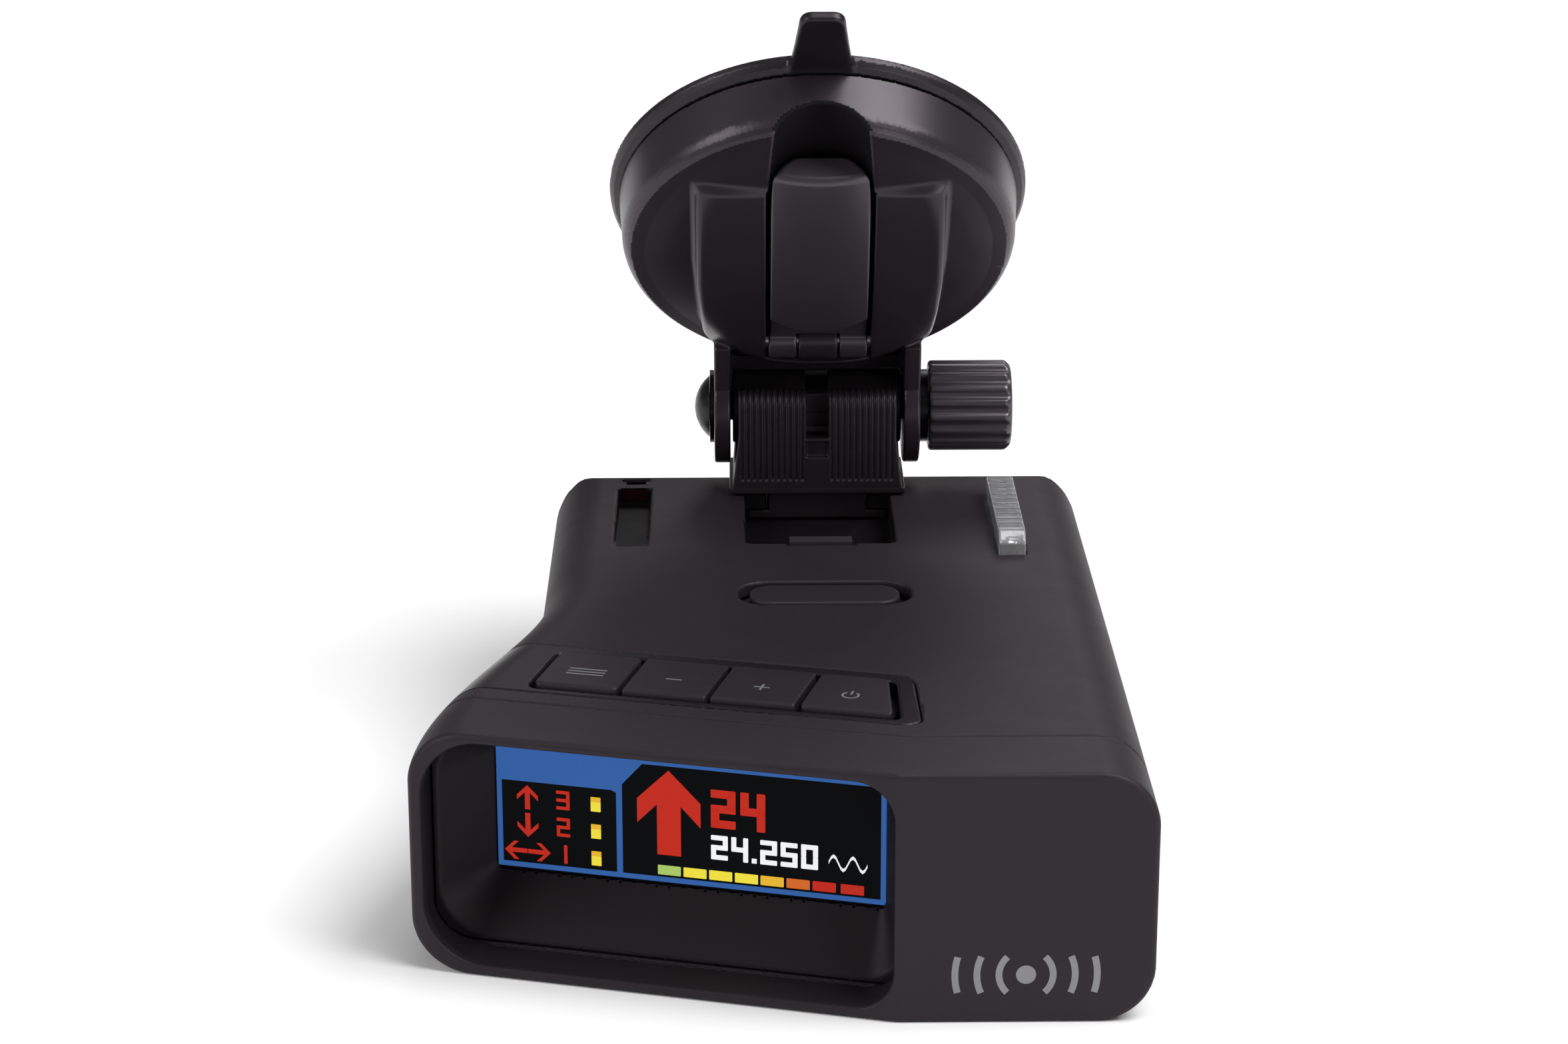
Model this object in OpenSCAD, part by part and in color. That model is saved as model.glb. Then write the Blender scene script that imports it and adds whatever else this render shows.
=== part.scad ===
// Windscreen radar detector on a lever-lock suction bracket.
// Millimetres. X runs across the case, Y from the driver's side to the windscreen, Z up.
// Everything is drawn from the right front face (y = 0) and the case centre line (x = 0),
// then shifted so that the origin is under the middle of the whole object.

/* [Case] */
// Half width of the case behind the display bulge
case_half_w = 37.6; // [37:0.1:38]
// Length from the right front face to the far end
case_len = 119; // [118.5:0.5:120]
// Height of the case at the front
front_h = 31.9; // [31.6:0.1:32.4]
// Height of the case at the far end
rear_h = 28.9; // [28.7:0.1:29.2]
// Distance that the display side reaches to the left of the centre line
bulge_x = 51.3; // [50.3:0.5:52.3]
// Radius along the long edges of the case
edge_r = 7; // [6.5:0.1:7.5]
// Wall thickness of the case shells
wall = 1.8; // [1.7:0.1:1.9]
// Height of the joint between the lower and the upper shell
parting_z = 8; // [7.8:0.1:8.2]
// Gap between neighbouring shells
seam = 0.15; // [0.1:0.05:0.2]

/* [Front] */
// Turn of the display face towards the driver, degrees
display_angle = 15; // [14.5:0.5:15.5]
// Place of the crease between the display face and the right front face
crease_x = 6.8; // [6.5:0.1:7]
// Depth of the front bezel behind both front faces
bezel_d = 12.4; // [12.2:0.1:12.6]
// Depth of the hood's straight wall in front of the display surround
hood_d = 6; // [5.8:0.1:6.2]
// Depth of the screen behind the display face
screen_d = 12; // [11.9:0.1:12.1]

/* [Buttons] */
// Spacing of the four keys on the top
key_pitch = 11.2; // [11.1:0.1:11.3]
// Gap between neighbouring keys
key_gap = 0.6; // [0.5:0.1:0.7]
// Travel of a key
key_travel = 0.7; // [0.5:0.1:0.8]

/* [Bracket] */
// Distance of the tilt axis from the right front face
pivot_y = 116; // [115.8:0.1:116.2]
// Height of the tilt axis
pivot_z = 40.1; // [40:0.1:40.3]
// Radius of the tilt bolt's shank
bolt_r = 2; // [1.9:0.05:2.1]
// Radial clearance of a shaft in its bore
fit_gap = 0.05; // [0.03:0.01:0.08]
// Radius of the clamp knob
knob_r = 6.5; // [6.3:0.1:6.7]

/* [Suction cup] */
// Lean of the suction cup's face from upright, degrees
cup_tilt = 37.8; // [37:0.2:38.4]
// Radius of the rubber lip
cup_r = 29; // [28.8:0.1:29.2]
// Half width of the lock lever
lever_half_w = 6.9; // [6.7:0.1:7]
// Travel of the rubber cup when the lever opens
cup_travel = 1.8; // [1.6:0.1:1.8]

/* [Hidden] */
$fn = 64;

// case outline
flank_start = 15;
flank_end = 73;
end_round = 5;
end_drop = 1.2;
slope = atan((front_h - rear_h) / case_len);
far = 200;

// display opening, measured leftwards from the crease and up from the base
hood = [0.3, 58.6, 1.4, 30.4];
screen = [3.9, 52.9, 9.5, 25.5];

// key row, measured leftwards from the crease and back from the display face
keys_right = 5.4;
well = [50.6, 17.6, 30.9];
well_end = 8;
key_end = 7.05;
key_front = 18.2;
key_back = 29.9;
frame_front = 16.2;
frame_back = 33;
key_proud = 0.5;
switch_z = -7.2;
switch_h = 2.3;
plunger_z = switch_z + switch_h + key_travel + 0.3;

// mute key on the centre line
mute_y = 65.4;
mute_len = 19.8;
mute_w = 7.2;
mute_gap = [1.5, 1.1];

// bracket channel in the upper shell
slot_half_w = 10.3;
slot_y = 86.5;
slot_floor = 25.2;
tab_travel = 1;
lip_y = 108.3;
lip_half_w = 7.3;
lip_z = 27;

// laser recess and prism
recess_x = -26;
recess = [85, 111.7];
prism_x = 25.9;
prism = [81, 107.4];

// boards
board_z = 6.4;
board_t = 1.6;
post_xy = [[31.2, 22], [-35.4, 51], [31, 107], [-31, 107]];
board_xy = [[-31, 36], [31, 40], [-31, 92], [31, 92]];
jack_z = board_z + board_t + 3.6;
audio_y = 66;
power_y = 80;
usb_y = 52;

// tilt joint
ear_in = 12.3;
ear_t = 2.3;
ear_r = 8.1;
barrel_r = 5.2;
block_y = 107.6;
plate_top = 44.5;
knob_x = 16;
knob_len = 11.8;

// suction cup, in its own frame: z points from the glass to the driver, y up the glass
pivot_cup_y = -29.4;
pivot_cup_z = 15.2;
cup_y = pivot_y + pivot_cup_y * sin(cup_tilt) + pivot_cup_z * cos(cup_tilt);
cup_z = pivot_z - pivot_cup_y * cos(cup_tilt) + pivot_cup_z * sin(cup_tilt);
lip_low = -1.6;
hub_r = 60;
hub_top_y = -8;
hub_top = 16.3;
lever_t = 2.7;
lever_dome = 1;
lever_end = 17.9;
channel_z = 10.2;
hollow_z = 9;
scoop_y = 7;
pin_y = -15.3;
pin_z = 13.6;
pin_r = 1.2;
knuckle_r = 2.7;

// origin under the middle of the whole object
origin_x = (case_half_w - bulge_x) / 2;
origin_y = (cup_y + cup_r * sin(cup_tilt) - lip_low * cos(cup_tilt)) / 2;

function top_z(y) = front_h - (front_h - rear_h) * y / case_len;
function flank(y) = max(0, min(1, (flank_end - y) / (flank_end - flank_start)));
function left_x(y) = -case_half_w - (bulge_x - case_half_w) * pow(flank(y), 2) * (3 - 2 * flank(y));
function row_x(x, y) = (x - crease_x - y * sin(display_angle)) / cos(display_angle);
function corner(x, z, r, from) = [for (i = [0:4]) [x + r * cos(from + 22.5 * i), z + r * sin(from + 22.5 * i)]];
function section(xl, xr, zl, zh, r) = concat(
    corner(xr - r, zh - r, r, 0),
    corner(xl + r, zh - r, r, 90),
    corner(xl + r, zl + r, r, 180),
    corner(xr - r, zl + r, r, 270));

module place() translate([-origin_x, -origin_y, 0]) children();

// frame of the display face: x to the right along the face, y into the case
module face_frame() translate([crease_x, 0, 0]) rotate([0, 0, -display_angle]) children();

// frame of the key row: as face_frame, with z = 0 on the sloping top
module key_frame() translate([crease_x, 0, front_h]) rotate([-slope, 0, 0]) rotate([0, 0, -display_angle]) children();

// point on the sloping top with z along its normal
module on_top(x, y) translate([x, y, top_z(y)]) rotate([-slope, 0, 0]) children();

module cup_frame() translate([0, cup_y, cup_z]) rotate([90 + cup_tilt, 0, 0]) children();

module along_x(x, y, z, r, len) translate([x, y, z]) rotate([0, 90, 0]) cylinder(r = r, h = len);

module rounded_rect(x0, x1, y0, y1, r) {
    hull()
        for (x = [x0 + r, x1 - r], y = [y0 + r, y1 - r])
            translate([x, y]) circle(r = r, $fn = 32);
}

// outline in the key row's frame whose right end runs parallel to the case's right side
module row_outline(x0, x_end, y0, y1, r) hull()
    for (y = [y0 + r, y1 - r]) {
        translate([x0 + r, y]) circle(r = r, $fn = 32);
        translate([row_x(x_end - r, y), y]) circle(r = r, $fn = 32);
    }

// upright plate in the display face's frame: leftwards, rightwards, low, high, depth, thickness
module face_plate(box, r, depth, t) face_frame()
    translate([0, depth + t, 0]) rotate([90, 0, 0]) linear_extrude(t)
        rounded_rect(-box[1], -box[0], box[2], box[3], r);

// case shape, inset by the given amount
module form(inset) {
    r = end_round - inset;
    last = case_len - inset;
    ys = concat([-1], [for (i = [0:8]) flank_start + (flank_end - flank_start) * i / 8],
        [for (i = [0:5]) last - r + r * sin(18 * i)]);
    steps = [for (i = [0:5]) 1 - cos(18 * i)];
    rings = [for (k = [0:len(ys) - 1])
        let (s = k < 10 ? 0 : steps[k - 10])
        [for (p = section(left_x(ys[k]) + inset + s * r, case_half_w - inset - s * r,
                inset + s * s * end_drop, top_z(ys[k]) - inset - s * s * end_drop, edge_r - inset))
            [p[0], ys[k], p[1]]]];
    n = len(rings[0]);
    m = len(rings);
    points = [for (ring = rings) each ring];
    sides = [for (k = [0:m - 2], i = [0:n - 1])
        let (a = k * n + i, b = k * n + (i + 1) % n)
        each [[a, b, b + n], [a, b + n, a + n]]];
    polyhedron(points, concat([[for (i = [n - 1:-1:0]) i]], sides, [[for (i = [0:n - 1]) (m - 1) * n + i]]));
}

// space behind both front faces, from the given depth
module behind(depth) intersection() {
    translate([-far, depth, -far]) cube(2 * far);
    face_frame() translate([-far, depth, -far]) cube(2 * far);
}

// space in front of the given depth
module band(depth) difference() {
    translate([-far / 2, -1, -far / 2]) cube(far);
    behind(depth);
}

module slab(z0, z1) translate([-far / 2, -far / 2, z0]) cube([far, 1.5 * far, z1 - z0]);

module post_places(list) for (p = list) translate([p[0], p[1], 0]) children();

// ---- case shells ----

module bottom_cover() color("#2b292b") {
    difference() {
        intersection() {
            union() {
                difference() {
                    form(0);
                    form(wall);
                }
                intersection() {
                    form(wall - 0.2);
                    union() {
                        post_places(post_xy) cylinder(r = 3.2, h = parting_z - seam);
                        post_places(board_xy) cylinder(r = 2.4, h = board_z);
                    }
                }
            }
            behind(bezel_d + seam);
            slab(-1, parting_z - seam);
        }
        post_places(post_xy) {
            translate([0, 0, -1]) cylinder(r = 1.4, h = 20);
            translate([0, 0, -1]) cylinder(r = 2.6, h = 3.6);
        }
        post_places(board_xy) translate([0, 0, 3]) cylinder(r = 0.9, h = 20);
        for (i = [-3:3], j = [-3:3])
            if (i * i + j * j < 11)
                translate([-16 + 3.2 * i, 64 + 3.2 * j, -1]) cylinder(r = 0.8, h = 4);
    }
}

module top_cover() color("#2b292b") {
    difference() {
        union() {
            intersection() {
                difference() {
                    form(0);
                    form(wall);
                }
                behind(bezel_d + seam);
                slab(parting_z + seam, far);
            }
            // bracket channel, laser recess and prism seats
            translate([-slot_half_w - 1.5, slot_y - 1.8, slot_floor - 1.6])
                cube([2 * slot_half_w + 3, case_len - slot_y - 0.7, top_z(case_len) - slot_floor + 0.6]);
            on_top(recess_x, recess[0]) translate([-3.8, -1, -4.2])
                cube([7.6, recess[1] - recess[0] + 3.6, 3.2]);
            intersection() {
                form(wall - 0.2);
                post_places(post_xy) translate([0, 0, parting_z + seam]) cylinder(r = 3, h = 30);
            }
        }
        post_places(post_xy) translate([0, 0, 6]) cylinder(r = 1.1, h = 14);
        key_band(0.1);
        // mute key
        on_top(0, mute_y) translate([0, 0, -5]) linear_extrude(8)
            rounded_rect(-mute_len / 2 - mute_gap[0], mute_len / 2 + mute_gap[0],
                -mute_w / 2 - mute_gap[1], mute_w / 2 + mute_gap[1], 4);
        // bracket channel with its two lips
        difference() {
            translate([-slot_half_w, slot_y, slot_floor]) cube([2 * slot_half_w, 40, 10]);
            for (s = [-1, 1])
                translate([s > 0 ? lip_half_w : -slot_half_w - 1, lip_y, lip_z])
                    cube([slot_half_w - lip_half_w + 1, 30, 10]);
        }
        translate([-4.7, slot_y - 1, slot_floor]) cube([9.4, 3, 10]);
        translate([-2.3, slot_y - 0.4, slot_floor - 5]) cube([4.6, 1.9, 6]);
        // laser recess, ramping down to its window
        on_top(recess_x, recess[0]) rotate([-5.2, 0, 0]) translate([-2.3, 0, 0])
            cube([4.6, recess[1] - recess[0], 6]);
        on_top(recess_x, recess[1]) translate([-1.9, -1.2, -2]) cube([3.8, 6, 1.8]);
        // prism slot
        on_top(prism_x, 0) translate([-1.95, prism[0], -6]) cube([3.9, prism[1] - prism[0], 10]);
        // windscreen side window
        translate([-30, case_len - 3, 11]) cube([60, 6, 11]);
        // jack openings in the right side
        along_x(30, audio_y, jack_z, 2.8, 20);
        along_x(30, power_y, jack_z, 3.4, 20);
        translate([30, usb_y - 4.2, jack_z - 2]) cube([20, 8.4, 4]);
    }
}

// band that the key trim covers, over the top and down the left flank
module key_band(grow) key_frame() translate([0, 0, -far / 2]) linear_extrude(far)
    polygon([
        [-far, frame_front - grow], [-2.4 + grow, frame_front - grow],
        [-0.9 + grow, frame_front - grow + 1.5], [-4.7 + grow, frame_back + grow - 2],
        [-6.7 + grow, frame_back + grow], [-far, frame_back + grow]
    ]);

module key_well() key_frame() translate([0, 0, -8]) linear_extrude(16)
    row_outline(-well[0], well_end, well[1], well[2], 1.4);

module front_bezel() color("#2b292b") {
    difference() {
        union() {
            difference() {
                intersection() {
                    form(0);
                    behind(0);
                }
                intersection() {
                    form(wall);
                    behind(wall);
                }
                behind(bezel_d);
            }
            // hood wall on the crease side
            face_plate([hood[0] - 1.5, hood[0] + 8, 1, front_h - 1], 1, 1, hood_d - 1);
            // lip that locates the shells behind the bezel
            difference() {
                union() {
                    intersection() {
                        form(wall - 0.1);
                        behind(screen_d + 0.05);
                        band(bezel_d);
                    }
                    intersection() {
                        form(wall + 0.05);
                        behind(bezel_d - 0.1);
                        band(bezel_d + 1.8);
                    }
                }
                form(wall + 1);
            }
        }
        face_plate(hood, 7.6, -5, hood_d + 5.01);
    }
}

module display_surround() color("#3a383b") {
    difference() {
        intersection() {
            form(wall + 0.1);
            face_plate([hood[0] - 1.3, 59.2, 0, 40], 1, hood_d + 0.05, screen_d - hood_d - 0.05);
        }
        hull() {
            face_plate([hood[0] + 0.6, 58.6, 2.4, 29.4], 6.6, hood_d - 0.01, 0.05);
            face_plate(screen, 0.8, screen_d, 0.05);
        }
    }
}

module display_lens() color("#101418")
    face_plate([screen[0] - 1.5, screen[1] + 1.5, screen[2] - 1.5, screen[3] + 1.5], 1, screen_d + 0.05, 1);

module display_module() color("#182430")
    face_plate([screen[0] - 1.2, screen[1] + 2.4, screen[2] - 2.6, screen[3] + 1.2], 0.6, screen_d + 1.1, 1.8);

module display_board() color("#1d5136") face_plate([1, 54, 4, 26.2], 1, screen_d + 3, 1.2);

// ---- keys ----

module button_frame() color("#161517") difference() {
    intersection() {
        difference() {
            form(0);
            form(wall);
        }
        slab(parting_z + seam, far);
        key_band(0);
    }
    key_well();
}

// key number i, counted from the right
module key(i) key_frame() {
    x1 = -(keys_right + key_pitch * i) - key_gap / 2;
    x0 = x1 - key_pitch + key_gap;
    difference() {
        union() {
            translate([0, 0, -3]) linear_extrude(3 + key_proud)
                if (i == 0) row_outline(x0, key_end, key_front, key_back, 0.9);
                else rounded_rect(x0, x1, key_front, key_back, i == 3 ? 0.9 : 0.4);
            translate([x0, well[1] - 0.8, -3]) cube([x1 - x0, well[2] - well[1] + 1.6, 0.7]);
            translate([(x0 + x1) / 2, (key_front + key_back) / 2, plunger_z]) cylinder(r = 1.6, h = 1.2);
        }
        translate([x0 - 1, key_front, key_proud]) rotate([50, 0, 0]) translate([0, -2, -1])
            cube([x1 - x0 + 4, 2, 2]);
    }
}

module power_button() color("#2f2d30") key(0);
module plus_button() color("#2f2d30") key(1);
module minus_button() color("#2f2d30") key(2);
module menu_button() color("#2f2d30") key(3);

module mute_button() color("#2b292b") on_top(0, mute_y) {
    translate([0, 0, -2.9]) linear_extrude(2.8)
        rounded_rect(-mute_len / 2, mute_len / 2, -mute_w / 2, mute_w / 2, 3);
    translate([0, 0, -2.9]) linear_extrude(0.7)
        rounded_rect(-mute_len / 2 - 3, mute_len / 2 + 3, -mute_w / 2 - 2.4, mute_w / 2 + 2.4, 3);
    translate([0, 0, plunger_z]) cylinder(r = 1.6, h = 1.2);
}

module key_board() color("#1d5136") key_frame() translate([-52, 17.4, switch_z - 1.2]) difference() {
    cube([47.4, 14, 1.2]);
    for (x = [2, 45.4]) translate([x, 12, -1]) cylinder(r = 1, h = 4);
}

module switch_body() {
    translate([-3, -3, 0]) cube([6, 6, 2]);
    cylinder(r = 1.6, h = switch_h);
}

module key_switches() color("#c9c9c9") for (i = [0:3])
    key_frame() translate([-(keys_right + key_pitch * (i + 0.5)), (key_front + key_back) / 2, switch_z])
        switch_body();

module mute_switch() color("#c9c9c9") on_top(0, mute_y) {
    translate([0, 0, switch_z]) switch_body();
    translate([-8, -5, switch_z - 1.2]) cube([16, 10, 1.2]);
}

// ---- inside ----

module main_board() color("#1d5136") difference() {
    translate([-34.5, 34, board_z]) cube([69, 66, board_t]);
    post_places(board_xy) translate([0, 0, board_z - 1]) cylinder(r = 1.2, h = 4);
    translate([-16, 64, board_z - 1]) cylinder(r = 11, h = 4);
    post_places([post_xy[1]]) translate([0, 0, board_z - 1]) cylinder(r = 3.6, h = 4);
}

module rf_shield() color("#b9bcc0") translate([4, 44, board_z + board_t]) difference() {
    cube([22, 30, 5]);
    translate([0.4, 0.4, -1]) cube([21.2, 29.2, 5.6]);
}

// pyramid horn with its waveguide: mouth at y = 0, throat at y = len
module horn(mouth_w, mouth_h, len, guide) difference() {
    union() {
        hull() {
            translate([-mouth_w / 2, 0, -mouth_h / 2]) cube([mouth_w, 0.5, mouth_h]);
            translate([-6.5, len, -4]) cube([13, 0.5, 8]);
        }
        translate([-6.5, len, -4]) cube([13, guide, 8]);
    }
    hull() {
        translate([1 - mouth_w / 2, -0.1, 1 - mouth_h / 2]) cube([mouth_w - 2, 0.5, mouth_h - 2]);
        translate([-5.3, len, -2.8]) cube([10.6, 0.5, 5.6]);
    }
    translate([-5.3, len, -2.8]) cube([10.6, guide - 1.2, 5.6]);
}

module front_horn() color("#b4b7ba") translate([0, 114, 16]) rotate([0, 0, 180]) horn(24, 12, 14, 12);

module rear_horn() color("#b4b7ba") translate([20.6, 3, 18]) horn(22, 18, 18, 14);

module gps_antenna() color("#c8b183") translate([-26, 50, board_z + board_t]) {
    cube([16, 16, 3]);
    translate([1.5, 1.5, 3]) cube([13, 13, 0.4]);
}

module speaker() color("#26262a") translate([-16, 64, wall + 0.1]) difference() {
    union() {
        cylinder(r = 14, h = 2.4);
        cylinder(r = 10, h = 5.6);
    }
    translate([0, 0, -1]) cylinder(r = 9, h = 2.2);
}

module front_laser_sensor() color("#1a1a1e") translate([20, 102, board_z + board_t]) {
    translate([-5, 0, 0]) cube([10, 8, 9]);
    translate([0, 8, 6]) rotate([-90, 0, 0]) cylinder(r = 3, h = 2.4);
}

module rear_laser_sensor() color("#1a1a1e") on_top(recess_x, recess[1] + 1.6)
    translate([-1.7, 0, -1.9]) cube([3.4, 1, 1.6]);

module front_window() color("#3a0d10") translate([-29.9, case_len - 1.7, 11.1]) cube([59.8, 1.5, 10.8]);

module laser_window() color("#2a0a0e") on_top(recess_x, recess[1]) translate([-1.8, 0, -1.95])
    cube([3.6, 1.2, 1.7]);

module light_prism() color("#e8eef0") on_top(prism_x, 0) {
    difference() {
        translate([-1.85, prism[0] + 0.1, -4]) cube([3.7, prism[1] - prism[0] - 0.2, 7.1]);
        translate([-3, prism[0], 3.1]) rotate([40, 0, 0]) translate([0, -3, -0.8]) cube([6, 3, 3]);
    }
}

// jack body with its socket open to the right
module jack(y, r_out, r_in, depth) difference() {
    union() {
        translate([26, y - 5, board_z + board_t]) cube([9.6, 10, 7.2]);
        along_x(35, y, jack_z, r_out, case_half_w - 35 - 0.1);
    }
    along_x(case_half_w - depth, y, jack_z, r_in, depth + 1);
}

module power_jack() color("#1c1c1e") jack(power_y, 3.3, 2.75, 9.5);
module audio_jack() color("#1c1c1e") jack(audio_y, 2.7, 1.8, 9);

module usb_port() color("#b9bcc0") translate([29, usb_y - 3.9, jack_z - 1.8]) difference() {
    cube([8.4, 7.8, 3.6]);
    translate([1, 0.4, 0.4]) cube([8, 7, 2.8]);
    translate([-1, -1, -1]) cube([1.1, 1.1, 1.1]);
}

module case_screws() color("#8d8f93") post_places(post_xy) {
    translate([0, 0, 0.9]) cylinder(r = 2.4, h = 1.6);
    translate([0, 0, 1]) cylinder(r = 1.05, h = 15);
}

module board_screws() color("#8d8f93") post_places(board_xy) {
    translate([0, 0, board_z + board_t]) cylinder(r = 2, h = 1);
    translate([0, 0, 3.2]) cylinder(r = 0.85, h = board_z);
}

// ---- bracket ----

module mount_release_tab() color("#353336") {
    translate([-4.3, slot_y - 0.6, slot_floor + tab_travel + 0.2])
        cube([8.6, 2.3, top_z(slot_y) - slot_floor - tab_travel + 0.1]);
    translate([-2, slot_y - 0.1, slot_floor - 2.6]) cube([4, 1.3, 4.5]);
    translate([-3.5, slot_y - 2, slot_floor - 3.2]) cube([7, 5, 0.9]);
}

module mount_bracket() color("#1d1c1e") {
    difference() {
        union() {
            translate([-12.5, block_y, top_z(block_y) + 0.3]) cube([25, 14, 1.1]);
            // neck and flange that run in the case's channel
            translate([-7, lip_y + 0.4, slot_floor + 0.6]) cube([14, 10.2, 4]);
            translate([-9.9, lip_y + 0.4, slot_floor + 0.3]) cube([19.8, 10.2, 1.3]);
            hull() {
                along_x(-11.4, pivot_y - 2, pivot_z - 1, 3, 22.8, $fn = 32);
                translate([-12, block_y + 0.4, top_z(block_y) + 1.3]) cube([24, 13, 0.2]);
            }
            hull() {
                translate([-12, block_y, top_z(block_y) + 1.3]) cube([24, 4, 0.2]);
                translate([-11.2, block_y, plate_top - 5]) cube([22.4, 3, 0.2]);
                along_x(-11.2, block_y + 2.2, plate_top - 2.2, 2.2, 22.4, $fn = 32);
            }
            along_x(-12, pivot_y, pivot_z, barrel_r, 24);
        }
        along_x(-15, pivot_y, pivot_z, bolt_r + fit_gap, 30);
        // middle slot, its ledge and the ribs of the front face
        translate([-1.6, block_y - 1, 37.8]) cube([3.2, 4.4, 12]);
        translate([-1.6, pivot_y - barrel_r - 1, pivot_z + 3.4]) cube([3.2, 14, 5]);
        translate([-1.6, block_y - 1, 35]) cube([3.2, 1.8, 2.3]);
        for (s = [-1, 1], i = [0:10])
            translate([s * (2.1 + 0.85 * i) - 0.2, block_y - 1, top_z(block_y) + 2]) cube([0.4, 1.25, 20]);
    }
}

module ears() for (s = [-1, 1])
    hull() {
        along_x(s > 0 ? ear_in : -ear_in - ear_t, 0, 0, ear_r, ear_t, $fn = 48);
        translate([s > 0 ? ear_in : -ear_in - ear_t, 10, -9]) cube([ear_t, 4, 9]);
    }

// shell behind the bracket's barrel that joins the two ears
module saddle() intersection() {
    along_x(-ear_in - 1, 0, 0, ear_r, 2 * ear_in + 2);
    translate([-ear_in - 1, -4, -ear_r]) cube([2 * ear_in + 2, 14, ear_r - 3.6]);
}

// outline of the hub that carries the lever
module hub_plan() hull() {
    translate([-16.9, 0]) square([33.8, 15.5]);
    translate([-16.2, -13]) square([32.4, 1]);
    intersection() {
        translate([0, -2.6]) circle(r = 21, $fn = 96);
        translate([-16, -30]) square([32, 20]);
    }
}

module hub_block() intersection() {
    translate([0, 0, 2]) linear_extrude(20) hub_plan();
    along_x(-20, hub_top_y, hub_top - hub_r, hub_r, 40);
    translate([0, -1.4, -14]) sphere(r = 34.2, $fn = 96);
}

// U-shaped prism along the lever: the finger scoop, or the lever tip that lies in it
module scoop(r, y0, y1) {
    translate([0, y0, 13]) rotate([-90, 0, 0]) cylinder(r = r, h = y1 - y0);
    translate([-r, y0, 13]) cube([2 * r, y1 - y0, 10]);
}

module cup_housing() color("#18171a") cup_frame() difference() {
    union() {
        difference() {
            union() {
                rotate_extrude($fn = 96) polygon(concat(
                    [[26, 1], [27.6, 1]],
                    [for (a = [0:15:60]) [24.6 + 2.6 * cos(a), 6.6 + 3.4 * sin(a)]],
                    [for (r = [24:-4:0]) [r, 12.2 - r * r / 240]],
                    [[0, hollow_z], [20, 8.3], [24.4, 6.5]]));
                intersection() {
                    rotate_extrude($fn = 96) polygon([[0, 4], [26, 4], [25, 8], [0, 11]]);
                    translate([-8.8, scoop_y - 1.4, 4]) cube([17.6, 30, 8]);
                }
                difference() {
                    hub_block();
                    rotate_extrude($fn = 96) polygon([[0, 0], [25.5, 0], [24.4, 6.5], [20, 8.3], [0, hollow_z]]);
                }
            }
            // lever channel and finger scoop
            translate([-7.35, -19, channel_z]) cube([14.7, 34, 20]);
            scoop(7.35, scoop_y, 42);
            cylinder(r = 2.7, h = 20);
        }
        // middle knuckle of the lever hinge
        along_x(-2.7, pin_y, pin_z, knuckle_r, 5.4);
        translate([-2.7, pin_y - 2, channel_z - 0.5]) cube([5.4, 4, 3]);
        translate([0, pivot_cup_y, pivot_cup_z]) {
            ears();
            saddle();
        }
    }
    along_x(-12, pin_y, pin_z, pin_r + 0.02, 24);
    translate([0, pivot_cup_y, pivot_cup_z]) {
        along_x(-20, 0, 0, bolt_r + fit_gap, 40);
        along_x(-ear_in, 0, 0, barrel_r + 0.5, 2 * ear_in);
    }
}

// body of revolution whose rim is the lever's crown
module lever_crown() translate([0, hub_top_y, hub_top - hub_r]) rotate([0, 90, 0]) rotate_extrude($fn = 180)
    polygon(concat([[0, -lever_half_w]],
        [for (t = [-1:0.25:1]) [hub_r + 0.1 + lever_dome * (1 - t * t), t * lever_half_w]],
        [[0, lever_half_w]]));

module lock_lever() color("#1b1a1d") cup_frame() difference() {
    union() {
        intersection() {
            difference() {
                lever_crown();
                along_x(-20, hub_top_y, hub_top - hub_r, hub_r - lever_t, 40);
            }
            translate([-lever_half_w, pin_y + 1, 8]) cube([2 * lever_half_w, scoop_y + 0.4 - pin_y - 1, 12]);
            // the crown ends in an arc and steps down to the hinge
            union() {
                translate([-10, -25, 8]) cube([20, 50, hub_top - 9.6]);
                translate([0, 7.1, 8]) cylinder(r = 15.7, h = 12, $fn = 96);
            }
        }
        intersection() {
            lever_crown();
            scoop(lever_half_w, scoop_y + 0.35, lever_end);
        }
        for (s = [-1, 1])
            along_x(s > 0 ? 3 : -lever_half_w, pin_y, pin_z, knuckle_r, lever_half_w - 3);
    }
    along_x(-20, pin_y, pin_z, pin_r + fit_gap, 40);
    along_x(-3, pin_y, pin_z, knuckle_r + 0.3, 6);
    // hollow under the lever's tip
    translate([-10, 15.6, 0]) cube([20, 10, 7.4]);
}

module lever_pin() color("#9a9ca0") cup_frame() along_x(-11.8, pin_y, pin_z, pin_r, 23.6);

module pull_stem() color("#8f9194") cup_frame() {
    translate([0, 0, 2.4]) cylinder(r = 2.4, h = channel_z + cup_travel - 2.8);
    translate([0, 0, 2]) cylinder(r = 7, h = 1);
}

module suction_cup() color("#141315") cup_frame() {
    difference() {
        union() {
            rotate_extrude($fn = 96) polygon([
                [0, 0.6], [12, 0.4], [24, -0.7], [27, lip_low], [cup_r, lip_low], [cup_r, lip_low + 0.5],
                [cup_r - 0.4, 0.3], [27.6, 0.7], [24, 0.7], [14, 2.4], [9, 4], [0, 4]
            ]);
            // pull tab
            translate([0, 27.4, -1]) rotate([5, 0, 0]) linear_extrude(1.6) hull() {
                translate([-4.4, 0]) square([8.8, 0.5]);
                for (s = [-1, 1]) translate([1.4 * s, 10.5]) circle(r = 1.6, $fn = 32);
            }
        }
        translate([0, 0, 1.98]) cylinder(r = 7.02, h = 1.04);
        cylinder(r = 2.42, h = 10);
    }
}

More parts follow.
